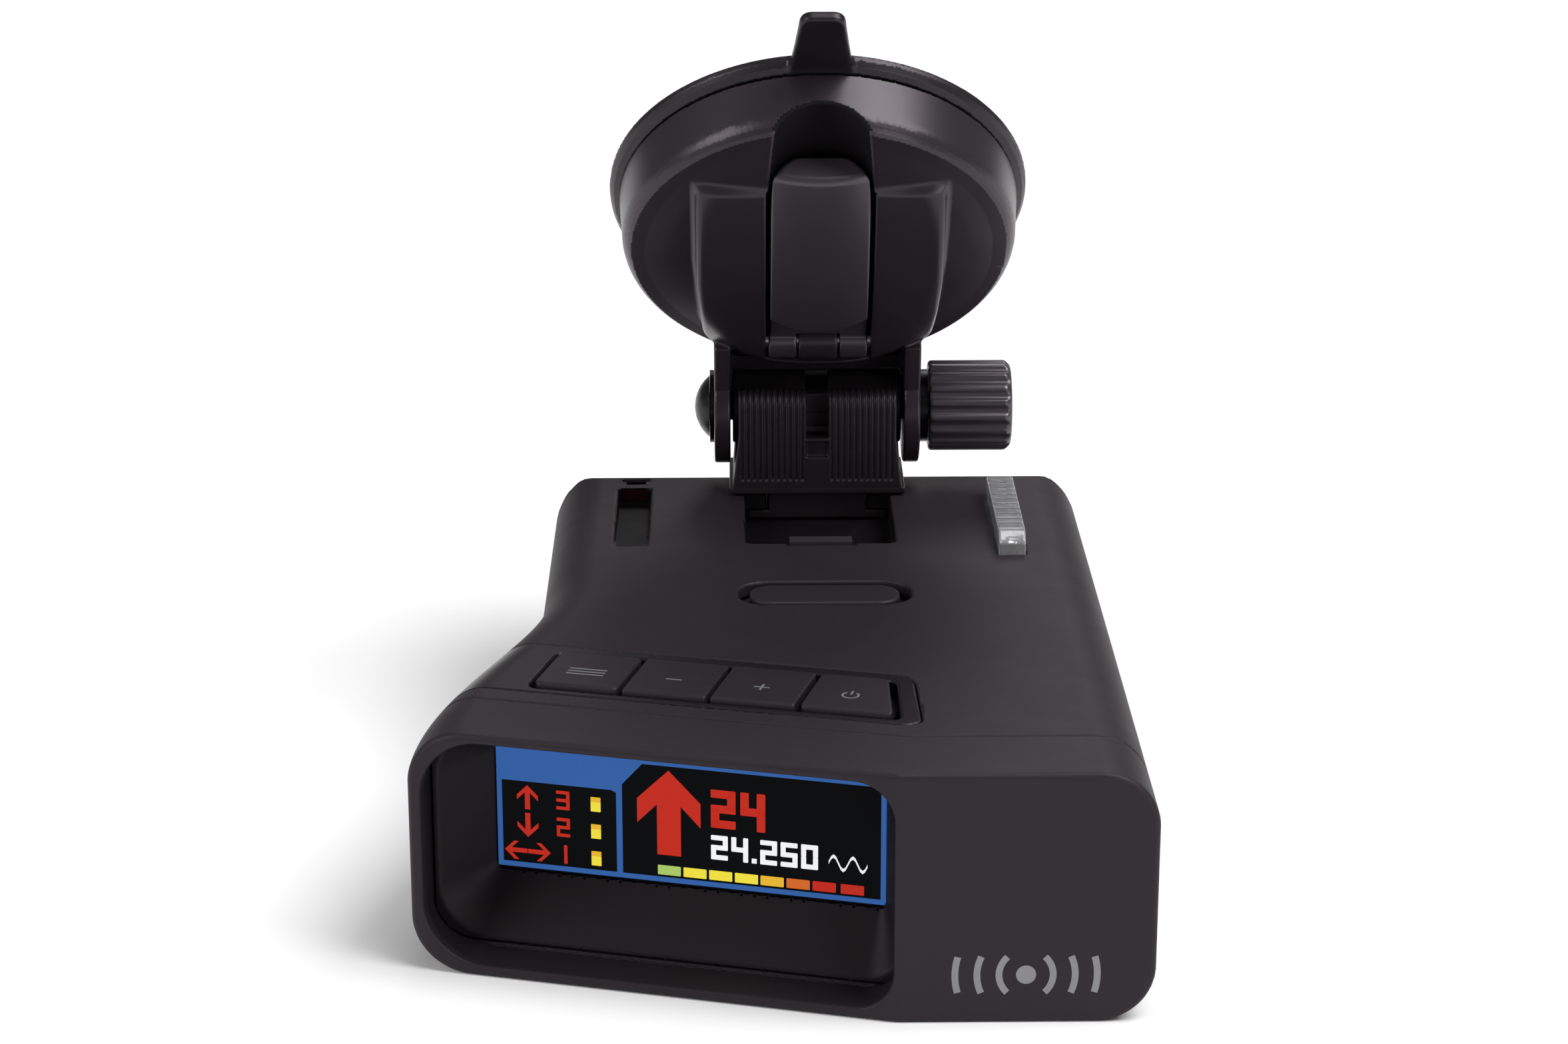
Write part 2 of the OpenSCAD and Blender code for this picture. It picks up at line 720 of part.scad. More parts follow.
module pivot_bolt() color("#2a2a2c") translate([0, pivot_y, pivot_z]) {
    along_x(-ear_in - ear_t - 0.7, 0, 0, bolt_r, 2 * ear_in + 2 * ear_t + 10);
    translate([-ear_in - ear_t - 0.7, 0, 0]) rotate([0, -90, 0]) intersection() {
        cylinder(r = 4.4, h = 2.1);
        translate([0, 0, -3.6]) sphere(r = 5.7);
    }
}

module washer(x, t) difference() {
    along_x(x, pivot_y, pivot_z, 5.2, t);
    along_x(x - 1, pivot_y, pivot_z, bolt_r + fit_gap, t + 2);
}

module pivot_washers() color("#2a2a2c") {
    washer(-ear_in - ear_t - 0.65, 0.6);
    washer(ear_in + ear_t + 0.05, 1.2);
}

module clamp_knob() color("#1b1a1d") translate([knob_x, pivot_y, pivot_z]) difference() {
    union() {
        along_x(0, 0, 0, knob_r - 0.4, 0.6);
        along_x(0.5, 0, 0, knob_r, knob_len - 1.4);
        translate([knob_len - 0.9, 0, 0]) rotate([0, 90, 0]) cylinder(r1 = knob_r, r2 = knob_r - 0.9, h = 0.9);
    }
    for (i = [0:17]) rotate([20 * i, 0, 0]) along_x(-1, 0, knob_r + 0.25, 0.75, knob_len + 2, $fn = 16);
    along_x(-1, 0, 0, 3.5, 10);
    along_x(knob_len - 0.6, 0, 0, 4, 1);
}

module knob_insert() color("#b08d4a") translate([knob_x, pivot_y, pivot_z]) difference() {
    along_x(0.1, 0, 0, 3.48, 8.8);
    along_x(-1, 0, 0, bolt_r + fit_gap, 9.5);
}

place() bottom_cover();
place() top_cover();
place() front_bezel();
place() display_surround();
place() display_lens();
place() display_module();
place() display_board();
place() button_frame();
place() menu_button();
place() minus_button();
place() plus_button();
place() power_button();
place() mute_button();
place() key_board();
place() key_switches();
place() mute_switch();
place() main_board();
place() rf_shield();
place() front_horn();
place() rear_horn();
place() gps_antenna();
place() speaker();
place() front_laser_sensor();
place() rear_laser_sensor();
place() front_window();
place() laser_window();
place() light_prism();
place() power_jack();
place() audio_jack();
place() usb_port();
place() case_screws();
place() board_screws();
place() mount_release_tab();
place() mount_bracket();
place() cup_housing();
place() pivot_bolt();
place() pivot_washers();
place() clamp_knob();
place() knob_insert();
place() lock_lever();
place() lever_pin();
place() pull_stem();
place() suction_cup();
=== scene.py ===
import math
import bpy
import numpy as np
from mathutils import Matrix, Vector


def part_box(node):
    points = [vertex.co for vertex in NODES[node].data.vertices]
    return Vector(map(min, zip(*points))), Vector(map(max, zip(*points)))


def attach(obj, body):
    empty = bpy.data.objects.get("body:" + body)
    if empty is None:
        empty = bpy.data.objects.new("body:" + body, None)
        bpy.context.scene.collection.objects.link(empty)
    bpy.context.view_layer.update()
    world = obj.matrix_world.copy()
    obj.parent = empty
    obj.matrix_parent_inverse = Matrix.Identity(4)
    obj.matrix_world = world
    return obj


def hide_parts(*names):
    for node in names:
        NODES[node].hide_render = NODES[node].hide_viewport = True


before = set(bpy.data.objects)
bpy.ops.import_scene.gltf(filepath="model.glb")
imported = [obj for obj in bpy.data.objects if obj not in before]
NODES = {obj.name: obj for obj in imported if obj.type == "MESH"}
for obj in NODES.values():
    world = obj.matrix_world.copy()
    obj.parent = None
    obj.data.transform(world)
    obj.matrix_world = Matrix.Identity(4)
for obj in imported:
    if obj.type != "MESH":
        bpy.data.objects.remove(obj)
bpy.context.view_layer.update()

# ---------------------------------------------------------------- camera

cam = bpy.data.objects.new("camera", bpy.data.cameras.new("camera"))
bpy.context.scene.collection.objects.link(cam)
cam.data.sensor_width = 36
cam.data.lens = 87.55
cam.data.clip_start = 0.01
# the viewpoint of the photograph
cam.location = (-0.00543, -0.47063, 0.20488)
cam.rotation_euler = (math.radians(90 - 19.26), 0, math.radians(-0.84))
bpy.context.scene.camera = cam

# ---------------------------------------------------------------- shape tools
# Shapes are distance functions in millimetres, in the part's own drawing frame:
# x = 0 on the case centre line, y = 0 on the right front face, z = 0 underneath.
# Each one is meshed finely, moved onto its exact surface and thinned out.

CASE_LEN = 119
FRONT_TOP = 31.9  # height of the top over the front face
FALL = 3  # how much lower the top is at the far end
WALL = 1.8
CREASE_X = 6.8  # where the two front faces meet
HALF_WIDTH = 37.6  # of the straight rear part
FLARE = 13.7  # how far the left flank swings out in front
COVERS = 12.55  # depth behind the front faces where the two covers start
HOOD = (0.3, 58.6, 1.4, 30.4)  # leftwards from the crease, then upwards
SCREEN = (3.9, 52.9, 9.5, 25.5)
KEY_START, KEY_PITCH, KEY_WIDTH = 5.4, 11.2, 10.6  # leftwards from the crease
KEY_FRONT, KEY_BACK = 18.2, 29.9  # depths behind the display face
PILL_Y = 65.4
SENSOR_AT = (-26, 85)  # front end of the sensor recess
PRISM_AT = (25.9, 81)  # front end of the clear prism
PIVOT_Y, PIVOT_Z = 116, 40.1  # tilt axis
EAR_Y, EAR_Z = -29.4, 15.2  # the same axis in the cup frame
HINGE_Y, HINGE_Z = -15.3, 13.6  # lever pin in the cup frame
CUP_R, CUP_DEPTH = 29, 1.6
TILT = math.radians(37.8)  # of the cup's axis, at rest
CUP_Y = PIVOT_Y + EAR_Y * math.sin(TILT) + EAR_Z * math.cos(TILT)
CUP_Z = PIVOT_Z - EAR_Y * math.cos(TILT) + EAR_Z * math.sin(TILT)
# middle of the whole part in the drawing frame, which is the row frame's origin
OX = -6.85
OY = (CUP_Y + CUP_R * math.sin(TILT) + CUP_DEPTH * math.cos(TILT)) / 2
S15, C15 = math.sin(math.radians(15)), math.cos(math.radians(15))  # turn of the display face
SLOPE = math.atan(FALL / CASE_LEN)  # of the top
SS, CS = math.sin(SLOPE), math.cos(SLOPE)


def rmax(a, b, r):
    """Intersection with a rounded edge of radius r."""
    return np.minimum(np.maximum(a, b), -r) + np.hypot(np.maximum(a + r, 0), np.maximum(b + r, 0))


def rmin(a, b, r):
    """Union with a rounded inner corner of radius r."""
    return -rmax(-a, -b, r)


def both(*parts):
    """Sharp intersection."""
    out = parts[0]
    for p in parts[1:]:
        out = np.maximum(out, p)
    return out


def either(*parts):
    """Sharp union."""
    out = parts[0]
    for p in parts[1:]:
        out = np.minimum(out, p)
    return out


def rrect(u, v, box, r):
    """Rounded rectangle, box = (low u, high u, low v, high v)."""
    qx = np.abs(u - (box[0] + box[1]) / 2) - (box[1] - box[0]) / 2 + r
    qy = np.abs(v - (box[2] + box[3]) / 2) - (box[3] - box[2]) / 2 + r
    return np.hypot(np.maximum(qx, 0), np.maximum(qy, 0)) + np.minimum(np.maximum(qx, qy), 0) - r


def block(x, y, z, lo, hi, r=0.0):
    """Box between the corners lo and hi, with edges of radius r."""
    q = [np.abs(c - (lo[i] + hi[i]) / 2) - (hi[i] - lo[i]) / 2 + r for i, c in enumerate((x, y, z))]
    out = np.sqrt(np.maximum(q[0], 0) ** 2 + np.maximum(q[1], 0) ** 2 + np.maximum(q[2], 0) ** 2)
    return out + np.minimum(np.maximum(np.maximum(q[0], q[1]), q[2]), 0) - r


def rod(a, b, c, r, lo, hi, edge=0.0):
    """Cylinder of radius r round the axis a = b = 0, from c = lo to c = hi."""
    side, ends = np.hypot(a, b) - r, np.abs(c - (lo + hi) / 2) - (hi - lo) / 2
    return rmax(side, ends, edge) if edge else np.maximum(side, ends)


def outline(u, v, pts):
    """Distance to a closed outline given as corner points, negative inside."""
    n = len(pts)
    best, inside = None, None
    for i in range(n):
        (ax, ay), (bx, by) = pts[i], pts[(i + 1) % n]
        ex, ey = bx - ax, by - ay
        t = np.clip(((u - ax) * ex + (v - ay) * ey) / (ex * ex + ey * ey), 0, 1)
        d = (u - ax - t * ex) ** 2 + (v - ay - t * ey) ** 2
        best = d if best is None else np.minimum(best, d)
        if ay != by:
            cross = ((v >= min(ay, by)) & (v < max(ay, by))) & (u < ax + (v - ay) * ex / ey)
            inside = cross if inside is None else inside ^ cross
    return np.where(inside, -1, 1) * np.sqrt(best)


# corners and edges of one grid cell
CORNERS = [(i, j, k) for i in (0, 1) for j in (0, 1) for k in (0, 1)]
EDGES = [(a, b) for a in CORNERS for b in CORNERS
    if sum(b) == sum(a) + 1 and all(q >= p for p, q in zip(a, b))]


def settle(f, p, h, rounds):
    """Moves points onto f = 0 and returns them with the surface normals there."""
    for step in range(rounds + 1):
        g = np.empty_like(p)
        for i in range(3):
            a, b = p.copy(), p.copy()
            a[:, i] += 0.01
            b[:, i] -= 0.01
            g[:, i] = (f(a[:, 0], a[:, 1], a[:, 2]) - f(b[:, 0], b[:, 1], b[:, 2])) / 0.02
        size = np.maximum((g ** 2).sum(1), 1e-4)
        if step < rounds:
            move = g * (f(p[:, 0], p[:, 1], p[:, 2]) / size)[:, None]
            far = np.linalg.norm(move, axis=1)
            move *= np.minimum(1, 0.7 * h / np.maximum(far, 1e-9))[:, None]
            p = p - move
    return p, g / np.sqrt(size)[:, None]


def net(f, lo, hi, h):
    """Vertices and quads of the surface f = 0 on a grid of cell size h."""
    axes = [np.arange(lo[i] - 1.5 * h, hi[i] + 2.5 * h, h) for i in range(3)]
    grid = np.meshgrid(*[a.astype(np.float32) for a in axes], indexing="ij", sparse=True)
    dims = tuple(len(a) for a in axes)
    val = np.ascontiguousarray(np.broadcast_to(f(*grid), dims), dtype=np.float32)
    ins = val < 0
    cell = tuple(d - 1 for d in dims)
    count = np.zeros(cell, np.uint8)
    for i, j, k in CORNERS:
        count += ins[i:i + cell[0], j:j + cell[1], k:k + cell[2]]
    act = (count > 0) & (count < 8)
    idx = np.argwhere(act)
    number = np.full(cell, -1, np.int64)
    number[act] = np.arange(len(idx))
    total = np.zeros((len(idx), 3))
    hits = np.zeros(len(idx))
    for a, b in EDGES:
        va = val[idx[:, 0] + a[0], idx[:, 1] + a[1], idx[:, 2] + a[2]].astype(float)
        vb = val[idx[:, 0] + b[0], idx[:, 1] + b[1], idx[:, 2] + b[2]].astype(float)
        cut = (va < 0) != (vb < 0)
        t = np.where(cut, va / np.where(cut, va - vb, 1), 0)
        for d in range(3):
            total[:, d] += np.where(cut, a[d] + t * (b[d] - a[d]), 0)
        hits += cut
    pts = np.array([a[0] for a in axes]) + (idx + total / hits[:, None]) * h
    quads = []
    for d in range(3):
        e, g = (d + 1) % 3, (d + 2) % 3
        first = [slice(None)] * 3
        second = [slice(None)] * 3
        first[d], second[d] = slice(0, -1), slice(1, None)
        here = np.argwhere(ins[tuple(first)] != ins[tuple(second)])
        here = here[(here[:, e] > 0) & (here[:, g] > 0) & (here[:, e] < cell[e]) & (here[:, g] < cell[g])]
        out = ins[here[:, 0], here[:, 1], here[:, 2]]
        ring = []
        for se, sg in ((-1, -1), (0, -1), (0, 0), (-1, 0)):
            c = here.copy()
            c[:, e] += se
            c[:, g] += sg
            ring.append(number[c[:, 0], c[:, 1], c[:, 2]])
        ring = np.stack(ring, 1)
        ring[~out] = ring[~out][:, ::-1]
        quads.append(ring)
    return pts, np.concatenate(quads)


def to_row(p):
    """Drawing frame in millimetres to the row frame in metres."""
    return np.stack([p[:, 0] - OX, p[:, 1] - OY, p[:, 2]], 1) / 1000


def from_cup(p):
    """Cup frame (z from the glass to the driver, y up the glass) to the drawing frame."""
    s, c = math.sin(TILT), math.cos(TILT)
    return np.stack([p[:, 0], CUP_Y - p[:, 1] * s - p[:, 2] * c, CUP_Z + p[:, 1] * c - p[:, 2] * s], 1)


def into_cup(x, y, z):
    """Drawing frame to the cup frame, the inverse of from_cup."""
    s, c = math.sin(TILT), math.cos(TILT)
    return x, (z - CUP_Z) * c - (y - CUP_Y) * s, -(y - CUP_Y) * c - (z - CUP_Z) * s


def turn_cup(n):
    """Normals in the cup frame to the drawing frame."""
    s, c = math.sin(TILT), math.cos(TILT)
    return np.stack([n[:, 0], -n[:, 1] * s - n[:, 2] * c, n[:, 1] * c - n[:, 2] * s], 1)


def mesh_of(name, pts, faces):
    """Mesh from an array of points and an array of faces."""
    me = bpy.data.meshes.new(name)
    me.vertices.add(len(pts))
    me.vertices.foreach_set("co", np.ascontiguousarray(pts, np.float32).ravel())
    k = faces.shape[1]
    me.loops.add(faces.size)
    me.loops.foreach_set("vertex_index", np.ascontiguousarray(faces, np.int32).ravel())
    me.polygons.add(len(faces))
    me.polygons.foreach_set("loop_start", np.arange(0, faces.size, k, dtype=np.int32))
    me.update(calc_edges=True)
    me.validate()
    return me


def grow(name, f, lo, hi, h, keep=0.3, cup=False):
    """Object for the shape f in the row frame, with exact normals.

    lo and hi bound the grid, h is its cell size, and keep is the share of faces that stays.
    """
    pts, quads = net(f, lo, hi, h)
    pts, _ = settle(f, pts, h, 2)
    me = mesh_of(name, pts, quads)
    ob = bpy.data.objects.new(name, me)
    bpy.context.scene.collection.objects.link(ob)
    if keep < 1:
        m = ob.modifiers.new("thin", "DECIMATE")
        m.ratio = keep
        deps = bpy.context.evaluated_depsgraph_get()
        lean = bpy.data.meshes.new_from_object(ob.evaluated_get(deps))
        ob.modifiers.clear()
        ob.data = lean
        bpy.data.meshes.remove(me)
        me = lean
        me.name = name
    co = np.empty(len(me.vertices) * 3, np.float32)
    me.vertices.foreach_get("co", co)
    co, normal = settle(f, co.reshape(-1, 3).astype(float), h * 0.5, 1)
    if cup:
        co, normal = from_cup(co), turn_cup(normal)
    me.vertices.foreach_set("co", to_row(co).astype(np.float32).ravel())
    me.polygons.foreach_set("use_smooth", np.ones(len(me.polygons), bool))
    me.update()
    me.normals_split_custom_set_from_vertices(normal)
    return ob


def place(ob, body, material, *nodes):
    """Gives a piece its material, its body and the CAD nodes that it replaces."""
    ob.data.materials.clear()
    ob.data.materials.append(material)
    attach(ob, body)
    if nodes:
        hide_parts(*nodes)
    return ob


def paint(ob, material, inside):
    """Gives the faces whose centre is inside the shape (drawing frame) another material."""
    ob.data.materials.append(material)
    n = len(ob.data.polygons)
    mid = np.empty(n * 3, np.float32)
    ob.data.polygons.foreach_get("center", mid)
    mid = mid.reshape(-1, 3) * 1000
    index = np.empty(n, np.int32)
    ob.data.polygons.foreach_get("material_index", index)
    index[inside(mid[:, 0] + OX, mid[:, 1] + OY, mid[:, 2]) < 0] = len(ob.data.materials) - 1
    ob.data.polygons.foreach_set("material_index", index)


# ---------------------------------------------------------------- materials

def material(name):
    """New material with one Principled shader, returned with its node tree and the shader."""
    m = bpy.data.materials.new(name)
    m.use_nodes = True
    t = m.node_tree
    t.nodes.clear()
    out = t.nodes.new("ShaderNodeOutputMaterial")
    b = t.nodes.new("ShaderNodeBsdfPrincipled")
    t.links.new(b.outputs[0], out.inputs[0])
    return m, t, b


def noise(t, scale, detail=3, rough=0.5, stretch=None):
    """Noise in object space, drawn out along an axis where stretch is given."""
    src = t.nodes.new("ShaderNodeTexCoord").outputs["Object"]
    if stretch:
        mp = t.nodes.new("ShaderNodeMapping")
        mp.inputs["Scale"].default_value = stretch
        t.links.new(src, mp.inputs["Vector"])
        src = mp.outputs[0]
    n = t.nodes.new("ShaderNodeTexNoise")
    n.inputs["Scale"].default_value = scale
    n.inputs["Detail"].default_value = detail
    n.inputs["Roughness"].default_value = rough
    t.links.new(src, n.inputs["Vector"])
    return n.outputs["Fac"]


def ramp(t, src, stops):
    """Colour ramp through stops of (position, grey or colour)."""
    r = t.nodes.new("ShaderNodeValToRGB")
    e = r.color_ramp.elements
    while len(e) < len(stops):
        e.new(0.5)
    for i, (p, c) in enumerate(stops):
        e[i].position = p
        e[i].color = (c if isinstance(c, tuple) else (c, c, c)) + (1,)
    t.links.new(src, r.inputs[0])
    return r.outputs[0]


def remap(t, src, lo, hi):
    """Spreads the middle of a noise over the range lo to hi."""
    r = t.nodes.new("ShaderNodeMapRange")
    r.inputs["From Min"].default_value = 0.3
    r.inputs["From Max"].default_value = 0.7
    r.inputs["To Min"].default_value = lo
    r.inputs["To Max"].default_value = hi
    t.links.new(src, r.inputs["Value"])
    return r.outputs[0]


def bump(t, b, src, strength, distance):
    """Lets src raise the surface by up to distance, in metres."""
    n = t.nodes.new("ShaderNodeBump")
    n.inputs["Strength"].default_value = strength
    n.inputs["Distance"].default_value = distance
    t.links.new(src, n.inputs["Height"])
    t.links.new(n.outputs[0], b.inputs["Normal"])


def plastic(name, low, high, rough, grain=4500, depth=0.00002, strength=0.25, coat=0.0, spec=0.5,
        patch=60):
    """Moulded plastic: slow colour drift, uneven sheen and a fine spark-eroded grain."""
    m, t, b = material(name)
    t.links.new(ramp(t, noise(t, patch, 4, 0.6), [(0.3, low), (0.7, high)]), b.inputs["Base Color"])
    t.links.new(remap(t, noise(t, patch * 3, 5, 0.65), rough[0], rough[1]), b.inputs["Roughness"])
    b.inputs["Specular IOR Level"].default_value = spec
    b.inputs["Specular Tint"].default_value = (1, 0.88, 0.98, 1)
    b.inputs["Coat Weight"].default_value = coat
    b.inputs["Coat Roughness"].default_value = 0.08
    bump(t, b, noise(t, grain, 4, 0.6), strength, depth)
    return m


def metal(name, low, high, rough, stretch=None, grain=1500):
    """Metal with an uneven sheen, brushed along one axis where stretch is given."""
    m, t, b = material(name)
    t.links.new(ramp(t, noise(t, 90, 4), [(0.3, low), (0.7, high)]), b.inputs["Base Color"])
    t.links.new(remap(t, noise(t, grain, 4, 0.6, stretch), rough[0], rough[1]), b.inputs["Roughness"])
    b.inputs["Metallic"].default_value = 1
    bump(t, b, noise(t, grain, 3, 0.5, stretch), 0.15, 0.00003)
    return m


def lit(name, colour, strength):
    """Glowing area of the display, with the fine grid of its dots."""
    m, t, b = material(name)
    b.inputs["Base Color"].default_value = tuple(c * 0.3 for c in colour) + (1,)
    t.links.new(remap(t, noise(t, 5000, 2), 0.25, 0.4), b.inputs["Roughness"])
    b.inputs["Specular IOR Level"].default_value = 0.05
    b.inputs["Emission Color"].default_value = colour + (1,)
    b.inputs["Emission Strength"].default_value = strength
    return m


# each has a low and a high colour and a range of roughness
CASE = plastic("case_plastic", (0.0145, 0.0112, 0.0138), (0.0165, 0.0128, 0.0158), (0.5, 0.56),
    grain=5200, spec=0.26)
SURROUND = plastic("surround_plastic", (0.0095, 0.0075, 0.009), (0.0115, 0.0092, 0.011), (0.48, 0.56),
    grain=4200, spec=0.2)
TRIM = plastic("trim_plastic", (0.009, 0.0072, 0.0088), (0.011, 0.0088, 0.0108), (0.3, 0.34),
    grain=1500, strength=0.05, spec=0.3)
KEYS = plastic("key_plastic", (0.0155, 0.0124, 0.0152), (0.0178, 0.0143, 0.0175), (0.44, 0.5),
    grain=6000, spec=0.25)
BRACKET = plastic("bracket_plastic", (0.0105, 0.0086, 0.0102), (0.0135, 0.0112, 0.0132), (0.38, 0.44),
    grain=3600, strength=0.2, spec=0.35)
GLOSS = plastic("gloss_plastic", (0.018, 0.0142, 0.0178), (0.021, 0.0166, 0.0208), (0.3, 0.34),
    grain=2200, strength=0.05, depth=0.00001, spec=0.42)
# lighter copy of the housing's gloss plastic for the lever and the knob: painted light, making them read
# brighter than the housing
LIGHTER_GLOSS = plastic("gloss_plastic_painted_light", (0.029, 0.0236, 0.029), (0.034, 0.0276, 0.034), (0.3, 0.34),
    grain=2200, strength=0.05, depth=0.00001, spec=0.8)
# near-black painted shade for the walls of the sensor recess, bracket channel, prism slot and finger scoop,
# which are the same plastic as around them
RECESS_SHADE = plastic("recess_painted_shade", (0.004, 0.0034, 0.004), (0.006, 0.005, 0.006), (0.5, 0.58),
    grain=4200, spec=0.12)
TAB = plastic("tab_plastic", (0.024, 0.02, 0.024), (0.03, 0.025, 0.03), (0.4, 0.46), spec=0.25)
INNER = plastic("inner_plastic", (0.012, 0.012, 0.013), (0.018, 0.018, 0.02), (0.5, 0.65), spec=0.3)
RUBBER = plastic("cup_rubber", (0.0065, 0.0058, 0.0065), (0.0095, 0.0086, 0.0095), (0.34, 0.42),
    grain=2600, strength=0.08, spec=0.4)
MARK = plastic("printed_mark", (0.22, 0.215, 0.22), (0.26, 0.255, 0.26), (0.45, 0.55), spec=0.2)
LEGEND = plastic("key_legend", (0.13, 0.128, 0.135), (0.16, 0.158, 0.165), (0.45, 0.55), spec=0.2)
BOARD = plastic("circuit_board", (0.008, 0.05, 0.025), (0.012, 0.07, 0.035), (0.3, 0.45), grain=900)
CERAMIC = plastic("ceramic", (0.5, 0.4, 0.22), (0.58, 0.47, 0.28), (0.5, 0.7))
PANEL = plastic("screen_panel", (0.0014, 0.0026, 0.0027), (0.002, 0.0034, 0.0035), (0.14, 0.2),
    grain=3000, strength=0.03, spec=0.04)
WINDOW = plastic("infrared_window", (0.012, 0.002, 0.003), (0.018, 0.003, 0.004), (0.06, 0.12),
    grain=1200, strength=0.03, coat=0.5)
STEEL = metal("plated_steel", (0.42, 0.42, 0.43), (0.55, 0.55, 0.56), (0.25, 0.45), (1, 8, 1))
BLACK_STEEL = metal("black_steel", (0.02, 0.02, 0.021), (0.035, 0.035, 0.036), (0.25, 0.4))
CAST = metal("cast_metal", (0.45, 0.45, 0.46), (0.6, 0.6, 0.61), (0.4, 0.6))
BRASS = metal("brass", (0.5, 0.33, 0.12), (0.62, 0.43, 0.18), (0.25, 0.4), (1, 1, 10))


def clear_plastic():
    """Clear moulded acrylic with flow lines and a slightly frosted core."""
    m, t, b = material("clear_plastic")
    t.links.new(ramp(t, noise(t, 300, 4, 0.6), [(0.35, (0.8, 0.8, 0.82)), (0.65, (0.98, 0.98, 0.99))]),
        b.inputs["Base Color"])
    t.links.new(remap(t, noise(t, 400, 4, 0.6), 0.01, 0.12), b.inputs["Roughness"])
    b.inputs["Transmission Weight"].default_value = 0.84
    b.inputs["IOR"].default_value = 1.49
    bump(t, b, noise(t, 350, 2, 0.5), 0.35, 0.0002)
    return m


CLEAR = clear_plastic()

# ---------------------------------------------------------------- the case


def top_z(y):
    """Height of the sloping top."""
    return FRONT_TOP - FALL * y / CASE_LEN


def form(x, y, z, inset=0.0):
    """The case's outer shape, shrunk by inset: straight at the back, flared left flank in front."""
    yc = np.clip(y, 0, CASE_LEN)
    k = np.clip((73 - yc) / 58, 0, 1)
    xl = -HALF_WIDTH - FLARE * k * k * (3 - 2 * k) + inset
    xr = HALF_WIDTH - inset
    zh = top_z(yc) - inset
    r = 7 - inset
    dx = np.abs(x - (xl + xr) / 2) - (xr - xl) / 2
    dz = np.abs(z - (zh + inset) / 2) - (zh - inset) / 2
    sec = np.hypot(np.maximum(dx + r, 0), np.maximum(dz + r, 0)) + np.minimum(np.maximum(dx, dz) + r, 0) - r
    end = y - (CASE_LEN - inset)
    re = 5 - inset
    plan = rmax(dx, end, re)
    lift = rmax(dz * 2.5, end, 3)
    return both(sec, plan, lift)


def behind(x, y, depth, r=0.25):
    """Negative behind both front faces from the given depth."""
    return rmax(depth - y, depth - ((x - CREASE_X) * S15 + y * C15), r)


def in_front(x, y, depth):
    """Negative in front of the given depth behind either front face."""
    return np.minimum(y, (x - CREASE_X) * S15 + y * C15) - depth


def face_uv(x, y):
    """Leftwards along the display face from the crease, and depth behind it."""
    return -((x - CREASE_X) * C15 - y * S15), (x - CREASE_X) * S15 + y * C15


def bezel(x, y, z):
    """Front shell: two faces, the hood opening and a pillar on its crease side."""
    u, d = face_uv(x, y)
    f = rmax(form(x, y, z), behind(x, y, 0), 0.7)
    f = rmax(f, in_front(x, y, 12.4), 0.25)
    cavity = both(form(x, y, z, WALL), behind(x, y, WALL))
    f = np.maximum(f, -cavity)
    pillar = both(rrect(u, z, (-1.2, 8.3, 1, 30.9), 1), np.abs(d - 3.5) - 2.5)
    f = np.minimum(f, pillar)
    hood = np.where(u > 29, rrect(u, z, HOOD, 7.6), rrect(u, z, HOOD, 5))
    return rmax(f, -np.maximum(hood, d - 6.02), 0.45)


def surround(x, y, z):
    """Funnel that narrows from the hood to the screen."""
    u, d = face_uv(x, y)
    f = both(form(x, y, z, 1.9), np.abs(d - 9.03) - 2.97, rrect(u, z, (-1, 59.2, -5, 40), 1))
    t = np.clip((d - 6) / 6, 0, 1)
    box = [a + (b - a) * t for a, b in zip((0.9, 58.6, 2.4, 29.4), SCREEN)]
    hole = rrect(u, z, box, np.where(u > 29, 6.6, 4.2) * (1 - t) + 0.8 * t)
    return rmax(f, -hole, 0.25)


def key_uv(x, y, z):
    """Key row frame: leftwards, depth behind the display face, height over the sloping top."""
    yl = y * CS - (z - FRONT_TOP) * SS
    u, d = face_uv(x, yl)
    return u, d, y * SS + (z - FRONT_TOP) * CS


def row(x, u, d, u1, d0, d1, end, r):
    """Outline along the key row, with its right end parallel to the case's right side."""
    f = rmax(rmax(d0 - d, u - u1, r), d - d1, r)
    return rmax(f, x - end, r)


def band(x, y, z, inset):
    """Outline of the trim round the key row, open towards the left flank."""
    u, d, _ = key_uv(x, y, z)
    lx = -u
    pts = [(-2.4, 16.2), (-0.9, 17.7), (-4.7, 31.0), (-6.7, 33.0)]
    sides = [16.2 - d, d - 33.0]
    for (ax, ay), (bx, by) in zip(pts, pts[1:]):
        ex, ey = bx - ax, by - ay
        n = math.hypot(ex, ey)
        sides.append(((lx - ax) * ey - (d - ay) * ex) / n)
    out = sides[0]
    for s in sides[1:]:
        out = rmax(out, s, 0.5)
    return out + inset


def top_frame(x, y, z, px, py):
    """Frame on the sloping top at (px, py)."""
    dz = z - top_z(py)
    return x - px, (y - py) * CS - dz * SS, (y - py) * SS + dz * CS


def channel(x, y, z):
    """The bracket's channel in the top, with its lips."""
    cut = np.maximum(rmax(np.abs(x) - 10.3, 86.5 - y, 1.0), 25.2 - z)
    lips = both(108.3 - y, 27 - z, 7.3 - np.abs(x))
    return both(cut, -lips)


